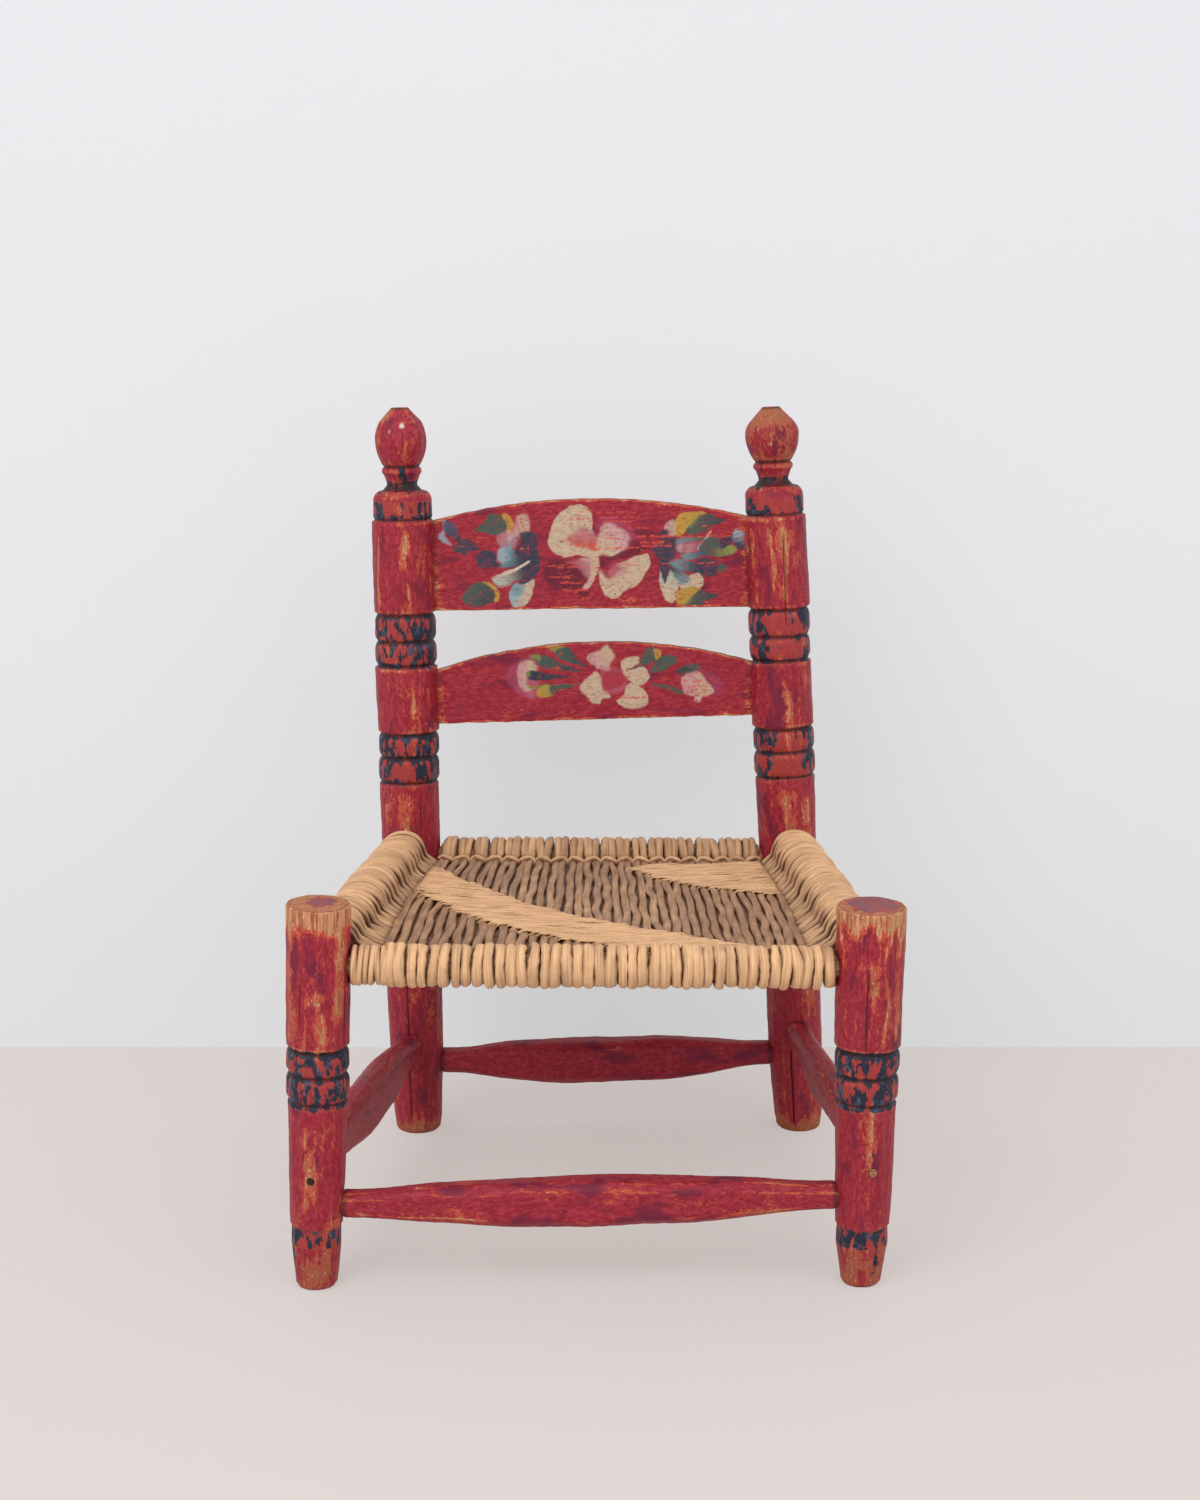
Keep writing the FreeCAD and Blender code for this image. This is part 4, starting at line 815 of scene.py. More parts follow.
# the brush: its wobble in mm, the hairs' widths as waves a mm, and how much they show
brush = {"wobble": 0.35, "hairs": (5.2, 11.3), "edge": (-0.6, 0.9), "blend": (0.15, 0.85), "fray": 0.05,
         "thin": 0.35, "tint": 0.035}
slats = {
    "upper_slat": {"heights": (355.2, 357.8), "end": 56.6, "middle": 73.4, "wear": 0.13, "seed": 61},
    "lower_slat": {"heights": (278.8, 285.2), "end": 32.0, "middle": 52.3, "wear": 0.12, "seed": 67},
}
# Painted shapes on each slat, first to last: two colours, the direction in degrees in which the
# first gives way to the second, how soft the edge is in mm, how much it covers, and its outline,
# as points given in pixels of the photograph
strokes = {
    "upper_slat": (
        ("ice", "ice", 0, 1.2, 0.75, ((442, 520), (447, 522), (445, 535), (452, 545), (446, 544),
         (439, 539), (438.5, 534), (443, 530))),
        ("slate", "blue", -50, 0.8, 0.95, ((444, 521), (455, 524), (461, 536), (469, 540), (463, 546),
         (452, 538), (444, 531))),
        ("deepLeaf", "blue", 0, 0.7, 0.95, ((453, 548), (460, 542), (470, 540), (480, 548), (474, 551),
         (464, 554.5), (454, 551))),
        ("blue", "blue", 0, 0.9, 0.93, ((478, 552), (488, 550), (496, 554), (497, 562), (505, 565),
         (490, 568), (479, 567), (476, 559))),
        ("leaf", "leaf", 0, 0.5, 1, ((475, 530), (483, 523), (490, 514), (502, 516), (508, 524),
         (505, 533), (496, 535.6), (484, 533))),
        ("yellow", "yellow", 0, 0.8, 0.85, ((501, 515), (508, 514), (514, 523), (513, 530), (506, 534),
         (507, 524))),
        ("blush", "cream", 0, 1.6, 0.72, ((516, 517), (522, 513.6), (528, 515), (530, 524), (529, 532),
         (522, 538), (516, 536), (510, 542), (507, 540), (508, 535), (514, 528))),
        ("blush", "ice", -60, 2, 0.5, ((497, 536), (510, 530), (518, 538), (514, 548), (506, 550),
         (499, 546))),
        ("ice", "teal", 0, 1.6, 0.95, ((498, 550), (508, 547), (516, 552), (517, 560), (507, 565),
         (498, 561))),
        ("teal", "blue", 0, 1.5, 0.9, ((509, 552), (524, 552), (526, 564), (500, 568), (503, 563),
         (511, 560))),
        ("blue", "blue", 0, 1, 0.96, ((520, 533), (535, 532), (538, 546), (540.5, 558), (539.5, 570),
         (534, 579), (526, 585), (519, 584), (520, 577), (526, 571), (514, 569), (524, 563), (517, 555),
         (515, 549), (521, 542))),
        ("pale", "blue", 20, 1.3, 0.97, ((492, 578), (504, 573), (518, 568), (529, 562), (528, 572),
         (522, 579), (514, 581), (510, 585), (500, 587), (494, 583))),
        ("cream", "white", 30, 0.5, 1, ((492, 578), (500, 573.6), (516, 567.5), (528, 561), (529, 562.8),
         (517, 570.6), (504, 576))),
        ("ice", "cream", -20, 0.6, 1, ((516, 583), (524, 584), (534, 579), (533.6, 588), (531, 598),
         (526, 605), (518, 607.6), (512, 606), (509.5, 599), (509.5, 592), (513, 587))),
        ("teal", "teal", 0, 2, 0.7, ((515, 583), (524, 585), (524, 592), (517, 598), (511, 595),
         (511, 588))),
        ("leaf", "deepLeaf", -40, 0.5, 1, ((462, 600), (463, 595), (470, 586), (479, 582), (488, 582),
         (495, 590), (497, 600), (488, 604), (477, 606.8), (467, 605))),
        ("yellow", "yellow", 0, 0.7, 0.92, ((481, 581.4), (490, 582.6), (497, 588), (500, 596),
         (497.5, 601.4), (494, 601), (495, 594), (489, 586))),
        ("cream", "cream", 0, 0.5, 1, ((548, 542), (549.5, 534), (553.5, 521), (560, 513), (570, 506),
         (580, 504.2), (588, 507.6), (592.4, 516), (592.4, 526), (594, 534), (598, 540), (600, 548),
         (599, 556), (590, 557.4), (578, 555.4), (566, 557), (556, 554), (550, 549))),
        ("rose", "pink", 90, 2.2, 0.72, ((567, 537), (575, 530), (584, 526), (594, 532), (599, 540),
         (600, 549), (588, 549), (578, 547), (570, 543))),
        ("plum", "plum", 0, 1.6, 0.88, ((542, 572), (547, 563), (560, 559.6), (578, 559.6), (590, 561),
         (596, 562), (596, 570), (592, 578), (586, 586), (570, 590), (554, 590), (546, 582))),
        ("pink", "blush", 20, 2.6, 0.7, ((566, 562), (580, 558.6), (597, 558.6), (597, 569), (592, 577),
         (586, 578), (578, 568))),
        ("blush", "cream", 0, 0.7, 0.97, ((579, 559.6), (590, 557.6), (598, 557.4), (599.4, 566),
         (595.6, 577), (589, 588), (582, 588.6), (588, 580), (591, 570), (589, 563))),
        ("plum", "plum", 0, 0.9, 0.8, ((575, 590), (582, 588.6), (590, 591), (588, 598), (582, 599),
         (578, 594))),
        ("haze", "haze", 0, 3.2, 0.6, ((596, 524), (606, 516), (620, 519), (631, 526), (637, 536),
         (634, 546), (626, 549), (604, 548))),
        ("cream", "blush", 40, 1.8, 1, ((596, 542), (599.6, 532), (602, 525), (609, 522), (619, 527),
         (628, 533), (630, 540), (626.6, 548), (620, 554), (612, 557), (603, 555), (596, 555))),
        ("plum", "plum", 8, 0.9, 0.9, ((600, 556.4), (610, 556.6), (622, 551), (636, 547), (649, 545),
         (646, 550), (627, 558.6), (610, 561), (600, 560))),
        ("plum", "plum", 0, 0.9, 0.72, ((633, 530), (652, 529.6), (653, 535), (638, 537))),
        ("plum", "plum", 0, 1.1, 0.62, ((628, 541), (650, 538.6), (650, 545), (632, 547))),
        ("cream", "cream", 0, 0.5, 1, ((612, 566), (622, 562), (631, 558), (643, 554), (649, 554.8),
         (650, 566), (645, 574), (640, 582), (633, 587.6), (626, 590), (620, 596), (614, 598.8),
         (606, 596), (600.6, 586), (599, 573), (602, 569), (608, 577))),
        ("plum", "rose", -40, 1.8, 0.88, ((600, 558), (612, 559), (617, 564), (621, 569), (615, 575),
         (609, 580), (602, 574), (599.6, 566))),
        ("pink", "pink", 0, 2.6, 0.5, ((609, 566), (625, 561), (629, 569), (619, 577), (608, 580))),
        ("yellow", "yellow", 0, 0.7, 1, ((675, 536), (674.6, 523), (680, 514), (690, 511.6), (702, 511.6),
         (707, 515), (696, 522), (689, 528), (682, 535))),
        ("leaf", "deepLeaf", 0, 0.5, 1, ((686, 530), (694, 521), (702, 514.6), (710, 514), (718, 518),
         (726, 520), (718, 524), (710, 527), (704, 532), (694, 534.4), (688, 534))),
        ("lime", "leaf", -30, 2.2, 0.6, ((687, 527), (694, 516), (704, 513.6), (702, 521), (695, 526))),
        ("blush", "cream", 0, 1.1, 0.85, ((664, 528), (668, 521), (674.6, 520), (675.6, 534), (670, 536))),
        ("blue", "blue", 0, 0.9, 0.8, ((658, 533), (667, 529), (668.6, 535), (660, 536.6))),
        ("blue", "blue", 0, 1, 0.97, ((654, 546), (661, 538.6), (676, 537), (677.6, 550), (674, 559),
         (666, 563), (660, 561), (652, 551))),
        ("teal", "leaf", 0, 0.9, 0.85, ((676, 540), (686, 537), (702, 537), (711, 535.4), (702, 541),
         (688, 542.6), (676, 544))),
        ("blush", "pink", 0, 1.6, 0.6, ((676, 544), (690, 543), (704, 540), (711, 531), (708, 541),
         (702, 548), (690, 554), (678, 552))),
        ("ice", "cream", 45, 0.4, 0.75, ((710, 531), (711, 532.4), (705, 542), (698, 550), (696.4, 549),
         (703, 540))),
        ("teal", "slate", 0, 1, 0.9, ((680, 555), (690, 553), (702, 551), (711, 552), (698, 558),
         (686, 560))),
        ("leaf", "leaf", 0, 0.7, 0.96, ((699, 551), (702, 542), (710, 537), (718, 538.4), (721, 547),
         (714, 550.6), (706, 552))),
        ("leaf", "lime", 0, 0.8, 0.96, ((704, 552.4), (716, 549), (726, 545), (735, 546), (737.4, 550),
         (730, 555), (718, 556.8), (706, 555))),
        ("blue", "blue", 0, 0.7, 0.93, ((720, 548), (721, 540), (726, 536), (733, 535.6), (736, 540),
         (728, 546), (723, 549))),
        ("blue", "ice", 80, 1.4, 0.97, ((732, 539), (733.6, 531), (739, 528.4), (744, 532.6), (745.4, 542),
         (744, 548), (738, 549.6), (734, 545))),
        ("blue", "blue", 0, 0.6, 0.93, ((696, 559.6), (704, 558), (716, 559.6), (718.6, 563), (710, 565.4),
         (698, 565))),
        ("blue", "blue", 0, 0.6, 0.96, ((686, 566), (702, 564), (719, 566.6), (719.4, 572), (714, 576),
         (704, 576.8), (693, 573))),
        ("leaf", "leaf", 0, 0.7, 0.9, ((718, 565), (725, 564.6), (727.6, 569), (723, 572), (718, 571.6))),
        ("teal", "blue", -10, 1.6, 0.95, ((669, 563), (680, 559), (690, 561), (700, 564), (703, 573),
         (690, 571), (677, 571))),
        ("pale", "cream", -90, 0.6, 1, ((660, 570), (664, 566.6), (671, 570), (678, 574), (684, 580),
         (679, 586), (676.6, 594), (676, 599), (671, 602.6), (665, 599.6), (661, 590), (659, 580))),
        ("cream", "cream", 0, 0.6, 1, ((687, 577), (698, 572.6), (703, 578), (703.6, 584), (699, 588),
         (686, 590), (679, 587), (684, 581))),
        ("blue", "teal", -40, 1.6, 0.9, ((668, 564), (678, 569), (690, 577), (688, 583), (681, 584),
         (674, 576))),
        ("blue", "blue", 0, 0.7, 1, ((660, 559), (667, 562), (670, 570), (667, 579), (665, 583.6),
         (662, 577), (659.6, 568))),
        ("yellow", "yellow", 0, 0.6, 1, ((675, 599), (677, 592), (683, 588), (692, 587), (701, 588.6),
         (696, 596), (690, 602), (682, 606.4), (678, 604.4))),
        ("leaf", "deepLeaf", 0, 0.5, 1, ((686, 603), (694, 594), (702, 589.8), (710, 593), (719, 595),
         (710, 599.4), (702, 605), (690, 607.6), (681, 606.8))),
        ("lime", "leaf", -20, 2, 0.55, ((684, 604), (692, 595), (699, 591), (698, 598), (691, 604))),
    ),
    "lower_slat": (
        ("haze", "pink", 0, 2.8, 0.75, ((509, 668), (519, 660), (531, 658), (539, 666), (538, 696),
         (527, 698), (515, 692), (507, 682), (506, 673))),
        ("blush", "cream", 0, 1.4, 0.9, ((519, 664), (526, 660.4), (532, 660.6), (537, 667), (534, 673),
         (527, 675), (528, 684), (532, 690), (526, 692), (520, 687), (517, 676))),
        ("leaf", "deepLeaf", -20, 0.5, 1, ((530, 655.6), (539, 655), (550, 657), (560, 662), (572, 667),
         (582, 671.4), (565, 671), (550, 669.4), (540, 667), (536, 661))),
        ("lime", "lime", 0, 1.2, 0.8, ((529, 655), (539, 654.4), (541, 660), (535, 660))),
        ("lime", "lime", 0, 1, 0.85, ((549, 648.6), (556, 645.8), (565, 646.6), (562, 651), (556, 653))),
        ("leaf", "deepLeaf", -30, 0.5, 1, ((556, 650.6), (565, 647), (571, 650), (576, 657), (587, 666),
         (577, 665), (567, 662), (557, 657))),
        ("blue", "blue", 0, 0.5, 1, ((527, 672), (537, 670.6), (550, 673.6), (571, 676.6), (552, 679.8),
         (532, 680.6), (527, 677))),
        ("lime", "lime", 0, 0.8, 0.8, ((525.6, 673), (530, 671.6), (530, 676.4), (526.6, 677))),
        ("lime", "leaf", 0, 0.5, 0.95, ((526, 686), (536, 685.6), (551, 682.6), (541, 687.8), (531, 689))),
        ("yellow", "lime", 0, 0.8, 0.96, ((536, 694), (541, 686.4), (550, 684.6), (557, 689), (551, 696),
         (541, 697.8))),
        ("leaf", "leaf", 0, 0.6, 1, ((550, 686), (560, 683.6), (572, 684), (582, 681.6), (573, 686.4),
         (563, 689.8), (556, 692), (551, 695))),
        ("blush", "cream", 40, 1.6, 0.95, ((587, 660), (589.6, 654), (600, 650), (602, 647.5), (607, 645),
         (612.6, 651), (615, 657.5), (610.6, 663), (610, 670), (600, 669.6), (594, 665.6))),
        ("cream", "cream", 0, 0.8, 1, ((579.6, 689), (581, 684), (589, 676), (597, 672), (602, 680),
         (603, 690), (608, 692.5), (611, 697.5), (602, 699), (600, 704.4), (590, 702), (587, 696.6),
         (583, 694))),
        ("pink", "pink", 0, 2.4, 0.6, ((601, 668), (616, 668), (626, 672), (627, 686), (619, 693),
         (604, 693))),
        ("rose", "rose", 0, 1.6, 0.9, ((602, 674), (611, 671), (624, 673), (625, 681), (619, 687),
         (610, 691), (603, 687))),
        ("cream", "cream", 0, 0.7, 1, ((621, 661), (630, 656.6), (639, 657), (641, 664.6), (647.5, 670),
         (649.4, 677.5), (643, 684.6), (634, 683.6), (625, 675.6), (621.6, 667.5))),
        ("cream", "cream", 0, 0.6, 1, ((616.6, 701), (624, 694.6), (626, 686), (634, 682), (641, 687),
         (647.8, 695), (647.8, 704), (638, 708.6), (625, 708))),
        ("leaf", "leaf", 30, 0.5, 1, ((629, 669.6), (640, 662), (642.5, 652.5), (650, 647), (658, 649.6),
         (656, 659), (646, 665.6), (637.5, 668))),
        ("yellow", "yellow", 0, 0.8, 0.88, ((654, 649.4), (660.6, 650), (660.6, 656), (656, 660))),
        ("leaf", "leaf", 0, 0.5, 1, ((650, 669.6), (656, 660), (665, 655), (674, 655.6), (678, 660),
         (670, 666.6), (662.5, 671.4), (652.5, 672.6))),
        ("deepLeaf", "leaf", 0, 0.6, 0.98, ((675.6, 673), (682.5, 666), (692.5, 663.6), (700.6, 665.6),
         (697.5, 671.6), (687.5, 673.6))),
        ("leaf", "leaf", 0, 0.5, 0.92, ((652, 683.4), (665, 684.6), (675, 687), (685, 693), (680, 694.6),
         (669, 690.6), (655, 686.4))),
        ("haze", "haze", 0, 3.2, 0.55, ((696, 669), (710, 672), (723, 682), (721, 695), (712, 698),
         (702, 690))),
        ("blush", "cream", 0, 1, 0.9, ((682.5, 676), (697.5, 671), (704, 677.5), (714, 690), (710, 695),
         (702.5, 697.5), (700, 702), (694, 700.8), (694, 696.6), (685, 694), (681.6, 685))),
    ),
}
# worn lines over them, in the same pixels: from x, to x, y and thickness
scratches = {
    "upper_slat": (
        (520, 529, 548.4, 1.6), (566, 599, 541, 1.2), (570, 600, 545, 1.6), (582, 600, 547.8, 1.4),
        (575, 592, 536, 1), (548, 562, 566, 1.2), (566, 582, 563, 1), (556, 590, 567.4, 1.2),
        (548, 560, 577, 1), (560, 584, 583, 1.2), (556, 588, 590.6, 1.6), (596, 637, 512.6, 1.4),
        (600, 640, 517.4, 1.6), (604, 634, 521.8, 1.4), (628, 652, 528, 1.2), (606, 620, 538.6, 1.2),
        (637, 668, 536.4, 1.8), (652, 735, 536.8, 1.2), (640, 664, 542.6, 2), (642, 672, 546, 1.4),
        (606, 640, 548.4, 1.2), (590, 601, 549.6, 1.6), (588, 600, 567.4, 1.4), (616, 640, 565, 1),
        (600, 612, 571, 1), (664, 668, 564, 1.4), (575, 582, 515, 1), (568, 590, 519, 0.9),
        (578, 590, 512, 0.8), (697, 715, 563, 1.1), (700, 706, 526, 1.2), (440, 452, 588, 1),
        (452, 458, 586, 1.2), (636, 650, 588, 1), (640, 648, 584, 1),
    ),
    "lower_slat": (
        (617, 646, 698.2, 1.3), (684, 702, 681.6, 1.2), (686, 708, 686.4, 1.2), (690, 712, 690.4, 1.1),
        (694, 704, 696.2, 1.2), (660, 672, 680, 1.2), (664, 676, 683.6, 1), (560, 580, 690, 1),
        (572, 590, 694, 1.1), (640, 660, 712, 1), (552, 580, 684.4, 0.8), (700, 712, 661, 0.8),
    ),
}


def boardFrame(name):
    # the middle of a slat's lower edge, its own three directions and half its length
    ends = zip(("back_left", "back_right"), slats[name]["heights"])
    low = [onAxis(post, height) for post, height in ends]
    along = unit(low[1] - low[0])
    upright = unit(postAxis("back_left")[1] + postAxis("back_right")[1])
    upright = unit(upright - along * (upright @ along))
    half = np.linalg.norm(low[1] - low[0]) / 2 - board["inset"]
    return sum(low) / 2, along, np.cross(upright, along), upright, half


def fromPhoto(name, pixels):
    # points of the photograph on a slat's front, in mm along it and up it: where the camera's
    # ray through each pixel meets the plane of the front
    middle, along, through, upright = boardFrame(name)[:4]
    front = middle - through * board["thick"] / 2
    focal = cameraView["lens"] / cameraView["sensor"] * max(photoSize)
    right, down = ((np.array(pixels, float) - np.array(photoSize) / 2) / focal).T
    pitch = math.radians(cameraView["pitchDown"])
    ahead, upward = (math.cos(pitch), -math.sin(pitch)), (math.sin(pitch), math.cos(pitch))
    rays = np.stack([right, ahead[0] - down * upward[0], ahead[1] - down * upward[1]], -1)
    toFront = front - np.array(cameraView["place"]) / mm
    met = rays * ((toFront @ through) / (rays @ through))[:, None] - toFront
    return np.stack([met @ along, met @ upright], -1)


def roundedOutline(corners, steps=4):
    # a closed curve through the corners: Catmull-Rom, p = (2b + (c-a)t + (2a-5b+4c-d)t^2
    # + (3b-a-3c+d)t^3) / 2
    b = np.array(corners, float)
    a, c, d = np.roll(b, 1, 0), np.roll(b, -1, 0), np.roll(b, -2, 0)
    t = np.linspace(0, 1, steps, endpoint=False)[:, None, None]
    curve = 2 * b + (c - a) * t + (2 * a - 5 * b + 4 * c - d) * t ** 2 + (3 * b - a - 3 * c + d) * t ** 3
    return curve.transpose(1, 0, 2).reshape(-1, 2) / 2


def depthInside(x, z, outline):
    # distance to a closed outline, positive inside it
    nearest = np.full(x.shape, 1e9)
    inside = np.zeros(x.shape, bool)
    for (ax, az), (bx, bz) in zip(outline, np.roll(outline, -1, 0)):
        spanX, spanZ = bx - ax, bz - az
        along = np.clip(((x - ax) * spanX + (z - az) * spanZ) / (spanX ** 2 + spanZ ** 2 + 1e-9), 0, 1)
        nearest = np.minimum(nearest, np.hypot(x - ax - along * spanX, z - az - along * spanZ))
        inside ^= ((az > z) != (bz > z)) & (x < spanX * (z - az) / (spanZ + 1e-9) + ax)
    return np.where(inside, nearest, -nearest)


def brushFlowers(name, x, z):
    # every shape is laid over the ones before it; hairs of the brush run along its gradient
    colour, cover = np.zeros((*x.shape, 3)), np.zeros(x.shape)
    wobbleX = x + brush["wobble"] * ripple(z / 3, x, 91, (1, 3), (3, 9))
    wobbleZ = z + brush["wobble"] * ripple(x / 3, z, 92, (1, 3), (3, 9))
    for number, (first, last, angle, soft, strength, corners) in enumerate(strokes[name]):
        outline = roundedOutline(fromPhoto(name, corners))
        inside = ease(depthInside(wobbleX, wobbleZ, outline), *(soft * end for end in brush["edge"]))
        way = np.array([math.cos(math.radians(angle)), math.sin(math.radians(angle))])
        reach = outline @ way
        along = (x * way[0] + z * way[1] - reach.min()) / np.ptp(reach)
        across = z * way[0] - x * way[1]
        coarse, fine = brush["hairs"]
        hairs = np.sin(across * coarse + number) + np.sin(across * fine + along * 3 + number * 2)
        shade = ease(along + brush["fray"] * hairs, *brush["blend"])[..., None]
        amount = np.clip(inside * (strength + (1 - strength) * brush["thin"] * hairs), 0, 1)[..., None]
        pair = [mixedPaint(key) for key in (first, last)]
        mixed = (pair[0] + (pair[1] - pair[0]) * shade) * (1 + brush["tint"] * hairs[..., None])
        colour = colour * (1 - amount) + mixed * amount
        cover = cover * (1 - amount[..., 0]) + amount[..., 0]
    return colour / np.maximum(cover, 1e-3)[..., None], cover


def scratchMarks(name, x, z):
    # thin worn lines, broken along their length
    marks = np.zeros(x.shape)
    for number, (first, last, row, width) in enumerate(scratches[name]):
        ends = fromPhoto(name, [(first, row), (last, row)])
        start, end = ends[:, 0]
        thick = width * (end - start) / (last - first)
        wave = ends[0, 1] + 0.25 * np.sin(x / 2.3 + number)
        gaps = ease(ripple(x * 0, x, 120 + number, (0, 1), (2, 11)), -0.5, -0.3)
        line = ease(thick - np.abs(z - wave) * 1.3, -0.1, 0.5) * (x > start) * (x < end) * gaps
        marks = np.maximum(marks, line)
    return marks


def boardSection(front, deep, edge):
    # the way round a board's section, clockwise seen from its left end so that faces point
    # outwards: share up the board, how far past it, and depth from its middle
    corner = np.linspace(0, 1, board["cornerSteps"])[1:-1] * math.pi / 2
    flat = np.linspace(-deep + edge, deep - edge, board["edgeSteps"])
    behind = front[::board["behindEvery"]][::-1]
    sine, cosine = np.sin(corner) * edge, np.cos(corner) * edge
    parts = [
        (front, 0, -deep), (1, sine, -deep + edge - cosine),
        (1, edge, flat), (1, cosine, deep - edge + sine),
        (behind, 0, deep), (0, -sine, deep - edge + cosine),
        (0, -edge, flat[::-1]), (0, -cosine, -deep + edge - sine)]
    return (np.concatenate(column) for column in zip(*(np.broadcast_arrays(*part) for part in parts)))


def slat(name):
    # surface of length and way round: a rounded rectangle whose height follows the arch
    spec = slats[name]
    middle, along, through, upright, half = boardFrame(name)
    x = np.arange(-half, half + board["rowStep"], board["rowStep"])
    crown = spec["middle"] - spec["end"]
    arc = (crown ** 2 + half ** 2) / (2 * crown)
    top = spec["middle"] - arc + np.sqrt(arc ** 2 - np.clip(np.abs(x), 0, half) ** 2)
    top = top + ripple(x / 9, x, spec["seed"], (1, 2), (8, 40)) * board["uneven"]
    bottom = ripple(x / 8, x, spec["seed"] + 1, (1, 2), (9, 40)) * board["uneven"] + board["uneven"] / 2
    deep, edge = board["thick"] / 2, board["edge"]
    front = np.linspace(0, 1, int(spec["middle"] / board["columnStep"]))
    share, past, depth = boardSection(front, deep, edge)
    gridX = np.repeat(x[:, None], len(share), 1)
    gridZ = (bottom + edge)[:, None] + (top - bottom - 2 * edge)[:, None] * share + past
    planed = ripple(gridZ / 12, gridX, spec["seed"] + 2, (1, 3), (25, 90)) * board["planed"]
    gridY = depth[None] + planed * np.sign(depth)[None] * (np.abs(depth) > deep - 0.01)
    isFront = ease(-gridY, *(deep - part for part in board["front"]))
    colour, cover = brushFlowers(name, gridX, gridZ)
    scratched = scratchMarks(name, gridX, gridZ) * board["scratched"]
    colour = colour * (1 - scratched[..., None]) + mixedPaint("scratch") * scratched[..., None]
    rimGap = np.minimum(top[:, None] - gridZ, gridZ - bottom[:, None])
    # worn at the rims, on the back, low down, and beside the posts, whose shade is dark
    wear = spec["wear"] + board["rimWear"] * (1 - ease(rimGap, *board["rimFade"]))
    wear = wear + board["backWear"] * (1 - isFront)
    patches = ripple(gridZ / 14, gridX, spec["seed"] + 4, (1, 3), board["patches"])
    wear = wear + board["patchWear"] * patches
    low = (1 - ease(rimGap, *board["lowFade"])) * (gridZ < top[:, None] / 2)
    wear = wear + board["lowWear"] * low
    fromPost = half - board["inPost"] - np.abs(gridX)
    # darker on the top and bottom edge faces, painted shade with dirt, and beside the posts, painted shade
    atEdge = board["edgeDark"] * ease(past, 0.75 * edge, edge)[None]
    cavity = np.maximum(1 - ease(fromPost, *board["postDark"]), atEdge) * board["cavity"]
    wear = wear + board["postWear"] * (1 - ease(fromPost, *board["postFade"]))
    none, grain = np.zeros_like(gridX), np.stack([gridY, gridZ, gridX], -1)
    marks = {"grain": grain * mm + spec["seed"] * 0.21, "wear": wear, "navy": none, "bare": none,
             "cavity": cavity, "flower": colour, "flowerCover": np.maximum(cover, scratched) * isFront}
    points = middle + along * gridX[..., None] + through * gridY[..., None] + upright * gridZ[..., None]
    woodPiece("painted_" + name, points, marks, name)


for name in slats:
    slat(name)
print("slats and flowers made")


# Palm strand

palmLook = {
    # dark is the painted shade that the crevice mark lays on
    "dusty": paint(164, 124, 92), "golden": paint(230, 182, 134), "dark": paint(82, 40, 25),
    "fibreScale": 2200.0, "strawScale": 760.0, "patchScale": 75.0, "bump": 0.0003,
}


def palmGroup(look):
    # fine fibres along a strand over slow patches; the tone mark goes from dusty to golden, and the crevice
    # mark lays on painted shade
    tree, given, made = newGroup(
        "palmFibre", (("Fibre", "Vector"), ("Tone", "Float"), ("Crevice", "Float")),
        (("Color", "Color"), ("Roughness", "Float"), ("Height", "Float")))
    fine = noiseOf(tree, given["Fibre"], (0.025, 1, 1), look["fibreScale"], 3, 0.6)
    straws = noiseOf(tree, given["Fibre"], (0.035, 1, 1), look["strawScale"], 3, 0.6)
    fibres = plus(tree, times(tree, fine, 0.45), times(tree, straws, 0.55))
    patches = noiseOf(tree, given["Fibre"], (1, 0.6, 1), look["patchScale"], 4, 0.6)
    tone = plus(tree, given["Tone"], times(tree, calc(tree, "SUBTRACT", patches, 0.5), 1.3), True)
    colour = blendColours(tree, tone, look["dusty"], look["golden"])
    shade = between(tree, fibres, 0.32, 0.64, 0.66, 1.12)
    colour = blendColours(tree, 1.0, colour, shade, "MULTIPLY")
    crevice = times(tree, given["Crevice"], 0.9, clamp=True)
    tree.links.new(blendColours(tree, crevice, colour, look["dark"]), made["Color"])
    tree.links.new(between(tree, fibres, 0.3, 0.7, 0.62, 0.45), made["Roughness"])
    tree.links.new(fibres, made["Height"])
    return tree


palmFibre = palmGroup(palmLook)
palmInputs = {"Fibre": ("fibre", "Vector"), "Tone": ("tone", "Fac"), "Crevice": ("crevice", "Fac")}
palm = finishMaterial("palmStrand", palmFibre, palmInputs, palmLook["bump"], 0.35)
print("palm made")


# Woven seat

seat = {
    "strands": 40, "frontLeft": 22.0, "frontRight": 8.0, "backMargin": 2.0, "reveal": 0.6, "turnsGap": 0.8,
    "frontRail": (200.8, 198.1), "backRail": (189.1, 187.1),
    "leftRail": (204.5, 197.5), "rightRail": (203.5, 197.5),
    "sag": 3.0, "sagPowers": (0.7, 0.8), "twiningSetback": 22.0,
    # how far the side strands have drawn the warp's edges outward, by share of the depth
    "drawn": {"depths": (0.0, 0.04, 0.12, 0.35, 0.55, 0.8, 1.0), "reach": 0.5,
              "left": (-2.0, -5.0, -8.5, -10.0, -9.0, -5.0, 0.0),
              "right": (0.0, -1.0, -2.5, 0.5, 2.5, 1.5, 0.0)},
}
topRadii = {post: posts[post]["top"] if "top" in posts[post] else backTurning["waist"] for post in posts}


def seatRail(key, first, last):
    # a rail's axis between the surfaces of its two posts
    start, end = onAxis(first, seat[key][0]), onAxis(last, seat[key][1])
    along = unit(end - start)
    return start + along * topRadii[first], end - along * topRadii[last]


